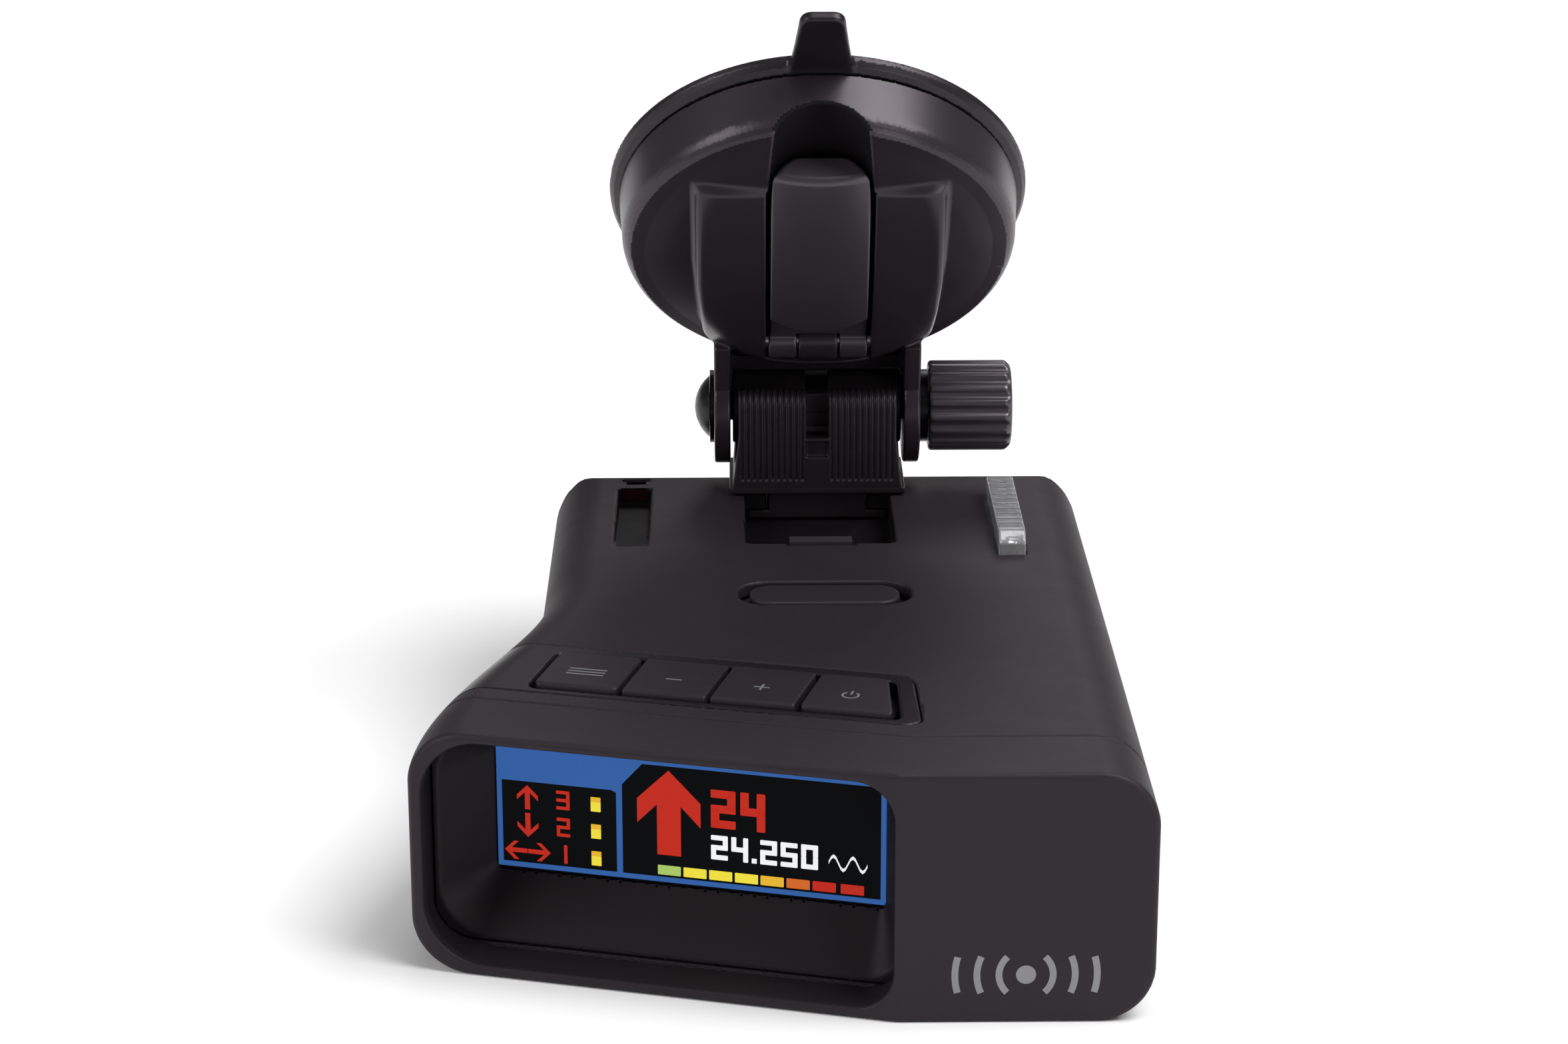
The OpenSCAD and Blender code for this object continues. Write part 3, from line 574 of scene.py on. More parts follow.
def top_shell(x, y, z):
    """Upper shell with the openings for keys, bracket, sensor, prism and sockets."""
    f = rmax(form(x, y, z), behind(x, y, COVERS), 0.3)
    f = rmax(f, 8.15 - z, 0.2)
    f = np.maximum(f, -form(x, y, z, WALL))
    # seats under the bracket channel and the sensor recess
    seat = block(x, y, z, (-11.8, 84.7, 23.6), (11.8, 116.5, 28.6))
    ax, ay, az = top_frame(x, y, z, *SENSOR_AT)
    seat = np.minimum(seat, block(ax, ay, az, (-3.8, -1, -4.2), (3.8, 29.3, -1.0)))
    f = np.minimum(f, seat)
    # key row and pill key
    f = rmax(f, -band(x, y, z, -0.08), 0.22)
    mx, my, mz = top_frame(x, y, z, 0, PILL_Y)
    f = rmax(f, -np.maximum(rrect(mx, my, (-11.4, 11.4, -4.7, 4.7), 4), -5 - mz), 0.35)
    # bracket channel and release tab
    f = rmax(f, -channel(x, y, z), 0.3)
    f = np.maximum(f, -block(x, y, z, (-4.7, 85.5, 25.2), (4.7, 88.5, 40)))
    f = np.maximum(f, -block(x, y, z, (-2.3, 86.1, 20.2), (2.3, 88.0, 26.2)))
    lean = 0.0908  # the floor of the sensor recess falls to the rear
    ry = ay * math.cos(lean) - az * math.sin(lean)
    rz = ay * math.sin(lean) + az * math.cos(lean)
    f = rmax(f, -block(ax, ry, rz, (-2.3, 0, 0), (2.3, 26.7, 6), 0.15), 0.3)
    bx, by, bz = top_frame(x, y, z, -26, 111.7)
    f = np.maximum(f, -block(bx, by, bz, (-1.9, -1.2, -2), (1.9, 4.8, -0.2)))
    # clear prism, rear window and the sockets in the right side
    px, py, pz = top_frame(x, y, z, *PRISM_AT)
    f = rmax(f, -block(px, py, pz, (-1.95, 0, -6), (1.95, 26.4, 6), 0.2), 0.3)
    f = np.maximum(f, -block(x, y, z, (-30, 116, 11), (30, 122, 22)))
    f = rmax(f, -rod(y - 66, z - 11.6, x, 2.8, 30, 50), 0.3)
    f = rmax(f, -rod(y - 80, z - 11.6, x, 3.4, 30, 50), 0.3)
    return rmax(f, -block(x, y, z, (30, 47.8, 9.6), (50, 56.2, 13.6), 0.4), 0.3)


def bottom_shell(x, y, z):
    """Lower shell with four screw posts and a round speaker grille."""
    f = rmax(form(x, y, z), behind(x, y, COVERS), 0.3)
    f = rmax(f, z - 7.85, 0.2)
    f = np.maximum(f, -form(x, y, z, WALL))
    body = form(x, y, z, 1.6)
    for px, py in ((31.2, 22), (-35.4, 51), (31, 107), (-31, 107)):
        f = np.minimum(f, both(rod(x - px, y - py, z, 3.2, 0, 7.85), body))
        f = rmax(f, -rod(x - px, y - py, z, 2.6, -1, 2.6), 0.25)
    for i in range(-3, 4):
        for j in range(-3, 4):
            if i * i + j * j < 11:
                f = np.maximum(f, -rod(x + 16 - 3.2 * i, y - 64 - 3.2 * j, z, 0.8, -1, 3))
    return f


def key_trim(x, y, z):
    """Trim round the key row, down to the seam on the left flank."""
    f = both(form(x, y, z), 8.15 - z)
    f = np.maximum(f, -form(x, y, z, WALL))
    f = rmax(f, band(x, y, z, 0.04), 0.22)
    u, d, _ = key_uv(x, y, z)
    return rmax(f, -row(x, u, d, 50.6, 17.6, 30.9, 8, 1.4), 0.3)


def key_shape(i):
    """Key i, counted leftwards: cap with a sloped front, rim and stem."""
    def f(x, y, z):
        u, d, t = key_uv(x, y, z)
        lo = KEY_START + KEY_PITCH * i + 0.3
        hi = lo + KEY_WIDTH
        plan = rrect(u, d, (lo, hi, KEY_FRONT, KEY_BACK), 0.9 if i == 3 else 0.4)
        if i == 0:
            plan = rmax(row(x, u, d, hi, KEY_FRONT, KEY_BACK, 7.05, 0.9), u - hi, 0.4)
        cap = rmax(plan, np.abs(t + 1.25) - 1.75, 0.28)
        lean = math.radians(50)
        slope = -(d - KEY_FRONT) * math.sin(lean) + (t - 0.5) * math.cos(lean)
        cap = rmax(cap, slope + 0.25, 0.25)
        rim = both(rrect(u, d, (lo, hi, 16.8, 31.7), 0.2), np.abs(t + 2.65) - 0.35)
        stem = both(np.hypot(u - (lo + hi) / 2, d - (KEY_FRONT + KEY_BACK) / 2) - 1.6, np.abs(t + 3.3) - 0.6)
        return either(cap, rim, stem)
    return f


def pill(x, y, z):
    """Pill key with the rim and stem under it."""
    mx, my, mz = top_frame(x, y, z, 0, PILL_Y)
    cap = rmax(rrect(mx, my, (-9.9, 9.9, -3.6, 3.6), 3), np.abs(mz + 1.5) - 1.4, 0.45)
    rim = both(rrect(mx, my, (-12.9, 12.9, -6.0, 6.0), 3), np.abs(mz + 2.55) - 0.35)
    return either(cap, rim, rod(mx, my, mz, 1.6, -3.9, -2.7))


def recess_shade_mask(x, y, z):
    """Sensor recess, bracket channel and the slots beside them, below the outer surface, whose walls get
    painted shade.
    """
    ax, ay, az = top_frame(x, y, z, *SENSOR_AT)
    sensor = both(np.abs(ax) - 2.6, np.abs(ay - 14) - 15, az + 0.12)
    mount = both(np.abs(x) - 10.6, 86.2 - y, top_frame(x, y, z, 0, 100)[2] + 0.12, 24 - z)
    px = PRISM_AT[0]
    prism_slot = both(np.abs(x - px) - 2.3, np.abs(y - 94) - 14, top_frame(x, y, z, px, 94)[2] + 0.3)
    return either(sensor, mount, prism_slot)


place(grow("case_front", bezel, (-51.3, 0, 0), (HALF_WIDTH, 29, 32), 0.36, 0.25),
    "detector", CASE, "front_bezel")
place(grow("display_funnel", surround, (-52, 5, 0), (13, 26, 32), 0.4, 0.25),
    "detector", SURROUND, "display_surround")
case_top = grow("case_top", top_shell, (-51.3, 12, 8), (HALF_WIDTH, CASE_LEN, 32), 0.4, 0.25)
place(case_top, "detector", CASE, "top_cover")
# painted shade on the walls of the sensor recess, bracket channel and prism slot
paint(case_top, RECESS_SHADE, recess_shade_mask)
place(grow("case_bottom", bottom_shell, (-51.3, 12, 0), (HALF_WIDTH, CASE_LEN, 8), 0.45, 0.2),
    "detector", CASE, "bottom_cover")
place(grow("key_trim", key_trim, (-51.3, 14, 8), (14, 50, 32), 0.3, 0.3), "detector", TRIM, "button_frame")
for i, n in enumerate(("power", "plus", "minus", "menu")):
    x0, x1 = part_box(n + "_button")
    lo = (x0.x * 1000 + OX, x0.y * 1000 + OY, x0.z * 1000)
    hi = (x1.x * 1000 + OX, x1.y * 1000 + OY, x1.z * 1000)
    place(grow("key_" + n, key_shape(i), lo, hi, 0.16, 0.4), n + "_button", KEYS, n + "_button")
place(grow("key_pill", pill, (-13, 59, 25), (13, 72, 31), 0.2, 0.3), "mute_button", CASE, "mute_button")

# ---------------------------------------------------------------- the bracket


def bracket(x, y, z):
    """T-shaped foot, flange, ribbed front plate and barrel."""
    top = top_z(107.6)
    f = block(x, y, z, (-12.5, 107.6, top + 0.3), (12.5, 121.6, top + 1.4), 0.3)
    f = np.minimum(f, block(x, y, z, (-7, 108.7, 25.8), (7, 118.9, 29.8), 0.2))
    f = np.minimum(f, block(x, y, z, (-9.9, 108.7, 25.5), (9.9, 118.9, 26.8), 0.3))
    # rear body between the plate and the tilt axis
    w = 12 - 0.7 * np.clip((z - 30) / 10, 0, 1)
    py = np.clip((z - (top + 1.4)) / (39.1 - top - 1.4), 0, 1)
    yl, yh = 108.0 + 3.2 * py, 121.0 - 4.0 * py
    rear = both(np.abs(y - (yl + yh) / 2) - (yh - yl) / 2, z - 39.5, top + 1 - z)
    rear = rmax(rear, np.abs(x) - w, 0.4)
    f = np.minimum(f, rear)
    # ribbed front plate with a rounded top
    t = np.clip((z - top - 1.4) / (38 - top - 1.4), 0, 1)
    front = both(107.6 - y, y - (111.6 - 1.0 * t), top + 1.2 - z, z - 42.3)
    front = np.minimum(front, rod(y - 109.8, z - 42.3, x, 2.2, -20, 20))
    front = rmax(front, np.abs(x) - (12 - 0.8 * t), 0.35)
    ax = np.abs(x)
    rib = np.mod(ax - 2.1 + 0.425, 0.85) - 0.425
    rib = np.where((ax > 1.75) & (ax < 11.05) & (y < 110.5), 0.26 * np.exp(-(rib / 0.17) ** 2), 0)
    f = np.minimum(f, front + rib * np.clip((z - top - 2.2) / 0.4, 0, 1))
    f = np.minimum(f, rod(y - PIVOT_Y, z - PIVOT_Z, x, 5.2, -12, 12, 0.3))
    f = np.maximum(f, -rod(y - PIVOT_Y, z - PIVOT_Z, x, 2.05, -15, 15))
    f = rmax(f, -block(x, y, z, (-1.6, 106.6, 37.8), (1.6, 111, 50), 0.1), 0.25)
    f = rmax(f, -block(x, y, z, (-1.6, 109.8, 43.5), (1.6, 123.8, 48.5), 0.1), 0.25)
    return rmax(f, -block(x, y, z, (-1.6, 106.6, 35), (1.6, 108.4, 37.3), 0.3), 0.2)


place(grow("bracket_block", bracket, (-12.5, 105, 25.4), (12.5, 122, 46), 0.17, 0.3),
    "bracket", BRACKET, "mount_bracket")

# ---------------------------------------------------------------- the suction cup
# cup frame: x across, y up the glass, z from the glass to the driver


def lens_top(y, z, extra=0.0):
    """Crown that the hub and the lever share."""
    return np.hypot(y + 8, z - (16.3 - 60)) - 60 - extra


def u_cut(x, z, r):
    """U-shaped section, round at the bottom."""
    return np.where(z > 13, np.abs(x) - r, np.hypot(x, z - 13) - r)


def housing(x, y, z):
    """Cup housing: drum, hub with a finger scoop, lever knuckle and the two ears."""
    rho = np.hypot(x, y)
    ring = [(26, 1), (27.6, 1)]
    ring += [(24.6 + 2.6 * math.cos(math.radians(a)), 6.6 + 3.4 * math.sin(math.radians(a)))
        for a in range(0, 61, 12)]
    ring += [(r, 12.2 - r * r / 240) for r in range(24, -1, -3)] + [(0, 9), (20, 8.3), (24.4, 6.5)]
    shell = outline(rho, z, ring)
    # floor under the finger scoop
    pad = both(np.abs(x) - 8.8, 5.6 - y, rho - 25.6, z - 8.5, 4 - z)
    shell = np.minimum(shell, pad)
    # hub: tombstone outline under a crown
    w = 16.9 - 0.7 * np.clip(-y / 13, 0, 1)
    plan = both(np.abs(x) - w, y - 15.5)
    plan = rmax(plan, np.hypot(x, y + 2.6) - 21 - 40 * (y > -2), 1.5)
    hub = rmax(plan, lens_top(y, z), 0.9)
    ball = np.sqrt(x * x + (y + 1.4) ** 2 + (z + 14) ** 2) - 34.2
    hub = rmax(hub, ball, 0.8)
    inner = outline(rho, z, [(0, 0), (25.5, 0), (24.4, 6.5), (20, 8.3), (0, 9)])
    hub = both(hub, -inner, 2 - z)
    f = rmin(shell, hub, 0.9)
    cut = both(np.abs(x) - 7.35, np.abs(y + 2) - 17, 10.2 - z)
    cut = np.minimum(cut, both(u_cut(x, z, 7.35), 7 - y))
    f = rmax(f, -cut, 0.4)
    f = np.maximum(f, 2.7 - rho - 100 * (z < 4))
    knuckle = rod(y - HINGE_Y, z - HINGE_Z, x, 2.7, -2.7, 2.7, 0.25)
    foot = both(np.abs(x) - 2.7, np.abs(y - HINGE_Y) - 2, np.abs(z - 11.2) - 1.5)
    f = either(f, knuckle, foot)
    ey, ez = y - EAR_Y, z - EAR_Z
    disc = np.hypot(ey, ez) - 8.1
    # strap from the disc up into the hub
    strap = outline(ey, ez, [(-2.2, 7.8), (-8.0, 1.2), (-7.2, -3.8), (8, -9), (14, -9), (14, 0), (7.6, 2.8)])
    side = np.minimum(disc, strap)
    ears = rmax(side, np.abs(np.abs(x) - 13.45) - 1.15, 0.35)
    f = rmin(f, ears, 0.5)
    saddle = both(disc, np.abs(x) - 13, -4 - ey, ey - 10, ez + 3.6)
    f = rmin(f, saddle, 0.8)
    f = np.maximum(f, -rod(y - HINGE_Y, z - HINGE_Z, x, 1.22, -12, 12))
    f = np.maximum(f, -rod(ey, ez, x, 2.05, -20, 20))
    f = np.maximum(f, -rod(ey, ez, x, 5.7, -12.3, 12.3))
    return f


def lever(x, y, z):
    """Lock lever: crowned arm, deep tip and two hinge knuckles."""
    crown = lens_top(y, z, 0.1) - (1 - np.clip(np.abs(x) / 6.9, 0, 1) ** 2)
    arm = both(crown, -(lens_top(y, z) + 2.7), -14.3 - y, y - 8.4)
    arm = both(arm, np.abs(x) - 6.9)
    # the crown ends in an arc and steps down to the hinge
    rim = np.hypot(x, y - 7.1) - 15.7
    arm = rmax(arm, np.minimum(rim, z - 14.7), 0.35)
    tip = both(crown, u_cut(x, z, 6.9), 7.35 - y)
    f = np.minimum(arm, tip)
    f = rmax(f, np.abs(x) - 6.9, 0.5)
    f = rmax(f, crown, 0.45)
    knob = np.minimum(rod(y - HINGE_Y, z - HINGE_Z, x - 4.95, 2.55, -1.95, 1.95, 0.3),
        rod(y - HINGE_Y, z - HINGE_Z, x + 4.95, 2.55, -1.95, 1.95, 0.3))
    f = rmin(f, knob, 0.3)
    f = rmax(f, y - 17.9, 0.9)
    f = np.maximum(f, -both(15.6 - y, z - 7.4))
    f = np.maximum(f, -rod(y - HINGE_Y, z - HINGE_Z, x, 1.25, -20, 20))
    return np.maximum(f, -rod(y - HINGE_Y, z - HINGE_Z, x, 3.0, -3, 3))


def cup(x, y, z):
    """Rubber cup with its pull tab, which leans away from the glass."""
    rho = np.hypot(x, y)
    f = outline(rho, z, [(-1, 0.6), (12, 0.4), (24, -0.7), (27, -1.55), (28.6, -1.58), (28.98, -1.3),
        (28.9, -0.6), (28.4, 0.2), (27.6, 0.66), (24, 0.68), (14, 2.4), (9, 4), (-1, 4)])
    a = math.radians(5)
    ty = (y - 27.4) * math.cos(a) + (z + 1) * math.sin(a)
    tz = -(y - 27.4) * math.sin(a) + (z + 1) * math.cos(a)
    w = 4.4 - 1.4 * np.clip(ty / 11, 0, 1) ** 0.8
    flap = rmax(np.maximum(np.abs(x) - w, -1.5 - ty), ty - 12.1, 1.6)
    flap = rmax(flap, np.abs(tz - 0.8) - 0.8, 0.5)
    f = rmin(f, flap, 0.6)
    return np.maximum(f, -both(np.minimum(both(rho - 7.02, np.abs(z - 2.5) - 0.52), both(rho - 2.42, -z))))


def scoop(x, y, z):
    """Walls of the finger scoop, below the surface of the drum, where shade is painted."""
    x, y, z = into_cup(x, y, z)
    return both(u_cut(x, z, 7.75), 7 - y, z - 11.85 + (x * x + y * y) / 240)


cup_shell = grow("cup_shell", housing, (-28, -38, 0.5), (28, 28, 24), 0.34, 0.35, cup=True)
place(cup_shell, "cup_arm", GLOSS, "cup_housing")
# painted shade on the walls of the finger scoop
paint(cup_shell, RECESS_SHADE, scoop)
# the lever gets the lighter copy of the housing plastic, which is painted light
place(grow("cup_lever", lever, (-7, -18.2, 5), (7, 19, 18), 0.2, 0.35, cup=True),
    "lever", LIGHTER_GLOSS, "lock_lever")
place(grow("cup_rubber", cup, (-29, -29, -2), (29, 40, 4.2), 0.34, 0.35, cup=True),
    "cup", RUBBER, "suction_cup")


def knob(x, y, z):
    """Fluted knob with a shallow recess in its end."""
    ky, kz = y - PIVOT_Y, z - PIVOT_Z
    rho = np.hypot(ky, kz)
    body = rmax(rho - 6.5, np.abs(x - 21.9) - 5.9, 0.5)
    body = rmax(body, (rho - 5.7 + (x - 27.8)) / math.sqrt(2), 0.2)
    ang = np.arctan2(kz, ky)
    step = math.radians(20)
    loc = np.mod(ang, step) - step / 2
    rib = np.hypot(rho * np.cos(loc) - 6.75, rho * np.sin(loc)) - 0.75
    body = rmax(body, -rib, 0.25)
    body = np.maximum(body, -both(rho - 3.5, np.abs(x - 20) - 5))
    return rmax(body, -both(rho - 4, 27.25 - x), 0.25)


# the knob gets the lighter copy of the housing plastic, which is painted light
place(grow("tilt_knob", knob, (16, 109.5, 33.6), (27.8, 122.6, 46.6), 0.2, 0.4), "knob", LIGHTER_GLOSS, "clamp_knob")


def prism(x, y, z):
    """Clear light rod with a sloped front end, a small hole and shallow steps on top."""
    px, py, pz = top_frame(x, y, z, *PRISM_AT)
    f = block(px, py, pz, (-1.85, 0.1, -4), (1.85, 26.3, 3.1), 0.35)
    a = math.radians(40)
    f = rmax(f, -(py - 1.5) * math.sin(a) + (pz - 1.4) * math.cos(a) - 1.1, 0.3)
    f = np.maximum(f, -rod(px, py - 23.3, pz, 0.6, 0.8, 4))
    steps = np.abs(np.mod(py, 2.2) - 1.1) - 0.85
    return rmax(f, -both(np.abs(pz - 3.1) - 0.25, -steps, 3 - py), 0.1)


place(grow("light_prism_body", prism, (23.9, 80, 24), (28, 108.5, 34), 0.16, 0.4),
    "detector", CLEAR, "light_prism")

# ---------------------------------------------------------------- flat printed and lit shapes


def ring_pts(pts, r, n=5):
    """Outline with its corners rounded by r."""
    if r <= 0:
        return pts
    out = []
    for i, p in enumerate(pts):
        p, a, b = np.array(p), np.array(pts[i - 1]), np.array(pts[(i + 1) % len(pts)])
        da, db = (a - p) / np.linalg.norm(a - p), (b - p) / np.linalg.norm(b - p)
        for k in range(n + 1):
            t = k / n
            out.append(tuple(p + da * r * (1 - t) ** 2 + db * r * t ** 2))
    return out


def plate(name, outlines, to_point, normal, thick, mat, body):
    """Thin raised plates from flat outlines. to_point maps (s, t) to the drawing frame."""
    verts, faces = [], []
    n = np.array(normal, float)
    for pts in outlines:
        k, base = len(pts), len(verts)
        area = sum(pts[i - 1][0] * pts[i][1] - pts[i][0] * pts[i - 1][1] for i in range(k))
        if area < 0:
            pts = pts[::-1]
        low = [np.array(to_point(*p)) for p in pts]
        verts += low + [p + n * thick for p in low]
        faces.append([base + k + i for i in range(k)])
        faces.append([base + k - 1 - i for i in range(k)])
        faces += [[base + i, base + (i + 1) % k, base + k + (i + 1) % k, base + k + i] for i in range(k)]
    me = bpy.data.meshes.new(name)
    v = to_row(np.array(verts))
    me.from_pydata([tuple(p) for p in v], [], faces)
    me.validate()
    ob = bpy.data.objects.new(name, me)
    bpy.context.scene.collection.objects.link(ob)
    ob.modifiers.new("tri", "TRIANGULATE")
    return place(ob, body, mat)


def rect(s0, t0, s1, t1, r=0.0):
    """Rectangle with corners of radius r."""
    return ring_pts([(s0, t0), (s1, t0), (s1, t1), (s0, t1)], r)


def screen_point(s, t):
    """s to the right and t up from the screen's lower left corner, on the lens."""
    lx, d = s - SCREEN[1], 12.03
    return (CREASE_X + lx * C15 + d * S15, -lx * S15 + d * C15, SCREEN[2] + t)


OUT = (-S15, -C15, 0)  # out of the display face


def arrow(cx, cy, size, turn):
    """Arrow pointing up, turned by quarter turns."""
    w, h, k = 0.42 * size, 0.5 * size, 0.1 * size
    shape = [(0, h), (w, h - w), (w, h - w - 2 * k), (k, h - 3 * k), (k, -h),
        (-k, -h), (-k, h - 3 * k), (-w, h - w - 2 * k), (-w, h - w)]
    out = []
    for x, y in shape:
        for _ in range(turn):
            x, y = -y, x
        out.append((cx + x, cy + y))
    return out


# bars of each numeral, lettered clockwise from the top one, with g in the middle
SEGMENTS = {"0": "abcdef", "1": "bc", "2": "abged", "3": "abgcd", "4": "fgbc", "5": "afgcd"}


def digits(text, s, t, w, h, k, gap):
    """Numerals from bars: w wide, h high, bars k thick."""
    out = []
    for ch in text:
        if ch == ".":
            out.append(rect(s, t, s + k, t + k))
            s += k + gap
            continue
        m = t + h / 2
        bars = {
            "a": (s, t + h - k, s + w, t + h), "g": (s, m - k / 2, s + w, m + k / 2),
            "d": (s, t, s + w, t + k),
            "f": (s, m, s + k, t + h), "b": (s + w - k, m, s + w, t + h),
            "e": (s, t, s + k, m), "c": (s + w - k, t, s + w, m)}
        out += [rect(*bars[b], 0.12) for b in SEGMENTS[ch]]
        s += w + gap
    return out


def meter(s):
    """One block of the signal bar along the bottom of the screen."""
    return rect(s, 0.95, s + 2.9, 2.2, 0.1)


BLUE = lit("lit_blue", (0.030, 0.105, 0.33), 0.9)
RED = lit("lit_red", (0.46, 0.022, 0.012), 0.95)
WHITE = lit("lit_white", (0.8, 0.8, 0.82), 0.9)
YELLOW = lit("lit_yellow", (0.78, 0.66, 0.05), 0.9)
AMBER = lit("lit_amber", (0.72, 0.42, 0.03), 0.9)
ORANGE = lit("lit_orange", (0.58, 0.13, 0.02), 0.9)
GREEN = lit("lit_green", (0.36, 0.52, 0.12), 0.9)

PRINT = 0.03  # thickness of printed marks
GLOW = 0.05  # thickness of lit areas
SMALL_ROWS = (8.4, 4.8, 1.2)  # heights of the small squares on the left
plate("readout_frame", [
    rect(0, 0, 49, 0.65), rect(0, 0.65, 0.65, 16), rect(48.35, 0.65, 49, 15.4),
    [(18.6, 15.35), (48.5, 15.35), (48.5, 16), (0.65, 16), (0.65, 11.5), (14.6, 11.5), (16, 12.4)],
    [(15.25, 0.65), (16, 0.65), (16, 12.4), (14.6, 11.5), (15.25, 11.2)]],
    screen_point, OUT, GLOW, BLUE, "detector")
big_arrow = [(21.9 + a, 8.9 + b) for a, b in (
    (0, 5.9), (4.0, 1.9), (4.0, -1.3), (1.5, 1.3), (1.5, -5.3),
    (-1.5, -5.3), (-1.5, 1.3), (-4.0, -1.3), (-4.0, 1.9))]
plate("readout_red", [
    arrow(3.9, 9.4, 3.2, 0), arrow(3.9, 5.7, 3.2, 2), arrow(2.3, 2.2, 2.9, 1), arrow(5.3, 2.2, 2.9, 3),
    big_arrow] +
    digits("3", 7.6, 8.2, 1.7, 2.5, 0.42, 0.4) + digits("2", 7.6, 4.6, 1.7, 2.5, 0.42, 0.4) +
    digits("1", 7.2, 1.0, 1.7, 2.5, 0.42, 0.4) + digits("24", 27.2, 7.9, 3.1, 5.0, 1.05, 0.6) +
    [meter(39.9), meter(43.4)],
    screen_point, OUT, GLOW, RED, "detector")
plate("readout_white", digits("24.250", 27.2, 3.7, 2.1, 3.2, 0.62, 0.45),
    screen_point, OUT, GLOW, WHITE, "detector")
wave = [(41.9 + 0.3 * i, 5.1 + 0.9 * math.sin(i * math.pi / 4)) for i in range(17)]
plate("readout_wave", [wave + [(a, b - 0.42) for a, b in wave[::-1]]],
    screen_point, OUT, GLOW, WHITE, "detector")
plate("readout_yellow", [rect(12.0, t, 13.25, t + 1.25, 0.08) for t in SMALL_ROWS] +
    [meter(23.7 + 3.24 * i) for i in range(3)],
    screen_point, OUT, GLOW, YELLOW, "detector")
plate("readout_amber", [rect(12.0, t + 1.25, 13.25, t + 1.9, 0.08) for t in SMALL_ROWS] + [meter(33.4)],
    screen_point, OUT, GLOW, AMBER, "detector")
plate("readout_orange", [meter(36.65)], screen_point, OUT, GLOW, ORANGE, "detector")
plate("readout_green", [meter(20.45)], screen_point, OUT, GLOW, GREEN, "detector")


def key_point(i):
    """s to the right and t away from the driver, from the middle of key i, on its top."""
    cu = KEY_START + KEY_PITCH * (i + 0.5)

    def to(s, t):
        lx, d, h = s - cu, 23.2 + t, 0.5
        xl, yl = lx * C15 + d * S15, -lx * S15 + d * C15
        return (CREASE_X + xl, yl * CS + h * SS, FRONT_TOP - yl * SS + h * CS)
    return to


def bar(x0, y0, x1, y1, k):
    """Straight stroke of width k."""
    dx, dy = x1 - x0, y1 - y0
    n = math.hypot(dx, dy)
    ox, oy = -dy / n * k / 2, dx / n * k / 2
    return [(x0 + ox, y0 + oy), (x0 - ox, y0 - oy), (x1 - ox, y1 - oy), (x1 + ox, y1 + oy)]


def arc(cx, cy, r, a0, a1, k, n=18):
    """Curved stroke of width k round (cx, cy), from angle a0 to a1 in degrees."""
    turns = [math.radians(a0 + (a1 - a0) * i / n) for i in range(n + 1)]

    def edge(radius):
        return [(cx + radius * math.cos(a), cy + radius * math.sin(a)) for a in turns]
    return edge(r + k / 2) + edge(r - k / 2)[::-1]


UP = (0, SS, CS)  # out of the sloping top
plate("legend_menu", [bar(-2.4, t, 2.4, t, 0.3) for t in (-0.9, 0, 0.9)],
    key_point(3), UP, PRINT, LEGEND, "menu_button")
plate("legend_minus", [bar(-1, 0, 1, 0, 0.3)], key_point(2), UP, PRINT, LEGEND, "minus_button")
plate("legend_plus", [bar(-1, 0, 1, 0, 0.3), bar(0, 0.15, 0, 1, 0.3), bar(0, -1, 0, -0.15, 0.3)],
    key_point(1), UP, PRINT, LEGEND, "plus_button")
plate("legend_power", [arc(0, -0.1, 1.0, 125, 415, 0.26), bar(0, 0.1, 0, 1.3, 0.26)],
    key_point(0), UP, PRINT, LEGEND, "power_button")


def front_point(s, t):
    """On the right front face, s from the centre line and t above the floor."""
    return (s, 0.01, t)


waves = [arc(22.2, 6.3, r, side - lean, side + lean, 0.8)
    for side in (0, 180) for r, lean in ((3.2, 46), (5.8, 24), (8.4, 16))]
plate("front_mark", waves + [arc(22.2, 6.3, 0.6, 0, 360, 1.2)],
    front_point, (0, -1, 0), PRINT, MARK, "detector")

# ---------------------------------------------------------------- carried-over nodes

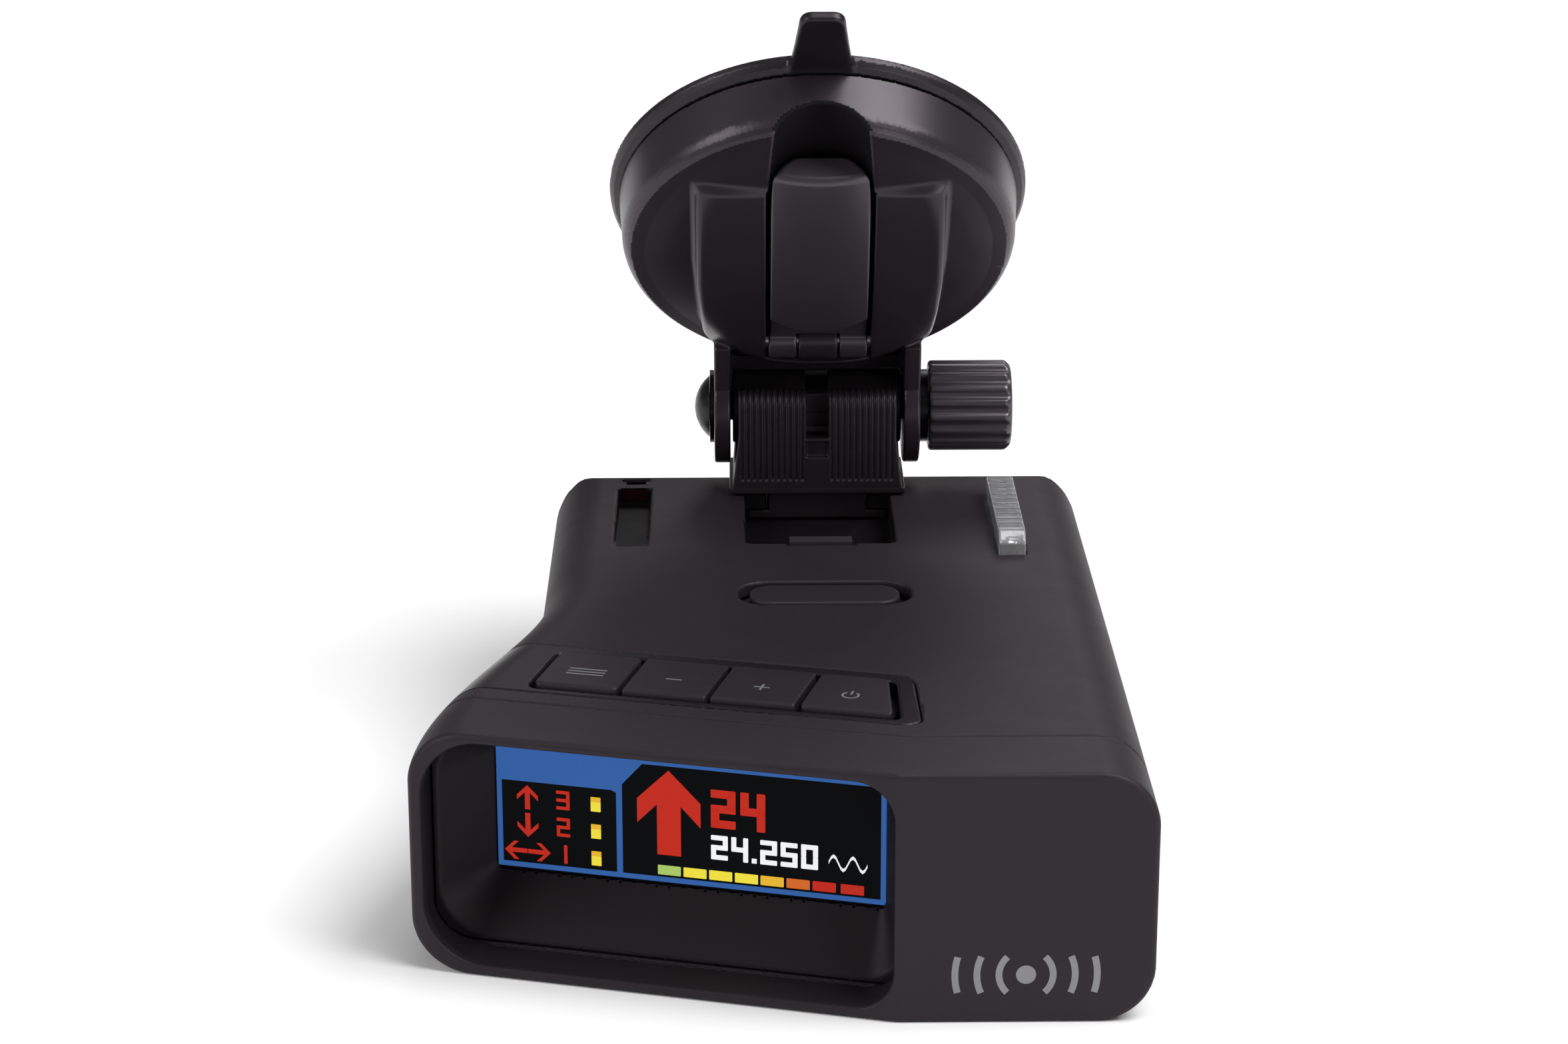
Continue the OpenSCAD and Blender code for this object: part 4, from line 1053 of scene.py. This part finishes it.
LOOK = {
    "display_lens": PANEL, "display_module": PANEL,
    "display_board": BOARD, "key_board": BOARD, "main_board": BOARD,
    "key_switches": STEEL, "mute_switch": STEEL, "rf_shield": STEEL, "usb_port": STEEL,
    "front_horn": CAST, "rear_horn": CAST, "gps_antenna": CERAMIC,
    "speaker": INNER, "front_laser_sensor": INNER, "rear_laser_sensor": INNER,
    "power_jack": INNER, "audio_jack": INNER,
    "front_window": WINDOW, "laser_window": WINDOW,
    "case_screws": STEEL, "board_screws": STEEL, "lever_pin": STEEL, "pull_stem": STEEL,
    "pivot_bolt": BLACK_STEEL, "pivot_washers": BLACK_STEEL,
    "mount_release_tab": TAB, "knob_insert": BRASS}
for name, look in LOOK.items():
    ob = NODES[name]
    ob.data.materials.clear()
    ob.data.materials.append(look)

# ---------------------------------------------------------------- floor and light

floor = bpy.data.objects.new("floor", bpy.data.meshes.new("floor"))
bpy.context.scene.collection.objects.link(floor)
floor.data.from_pydata([(-4, -4, 0), (4, -4, 0), (4, 4, 0), (-4, 4, 0)], [], [(0, 1, 2, 3)])
fm, _, fb = material("floor_white")
fb.inputs["Base Color"].default_value = (0.9, 0.9, 0.9, 1)
fb.inputs["Roughness"].default_value = 0.9
fb.inputs["Specular IOR Level"].default_value = 0.1
floor.data.materials.append(fm)

world = bpy.data.worlds.new("studio")
bpy.context.scene.world = world
world.use_nodes = True
world.node_tree.nodes["Background"].inputs[0].default_value = (1, 1, 1, 1)
world.node_tree.nodes["Background"].inputs[1].default_value = 0.15


def softbox(name, loc, aim, size, power):
    """Square area light of the given size at loc, facing aim."""
    d = bpy.data.lights.new(name, "AREA")
    d.shape = "SQUARE"
    d.size = size
    d.energy = power
    o = bpy.data.objects.new(name, d)
    bpy.context.scene.collection.objects.link(o)
    o.location = loc
    o.rotation_euler = (Vector(aim) - Vector(loc)).to_track_quat("-Z", "Y").to_euler()


softbox("key_light", (1.6, -0.5, 2.6), (0, 0, 0), 2.0, 100)
softbox("top_light", (0.3, 0, 2.6), (0, 0, 0), 0.6, 8)
softbox("fill_light", (-2.3, -0.9, 1.5), (0, 0, 0), 1.4, 34)
softbox("back_light", (0.5, 2.5, 1.9), (0, 0, 0), 1.2, 13)
softbox("front_light", (1.7, -2.4, 0.5), (0, 0, 0.05), 0.8, 14)
bpy.context.scene.view_settings.view_transform = "Standard"
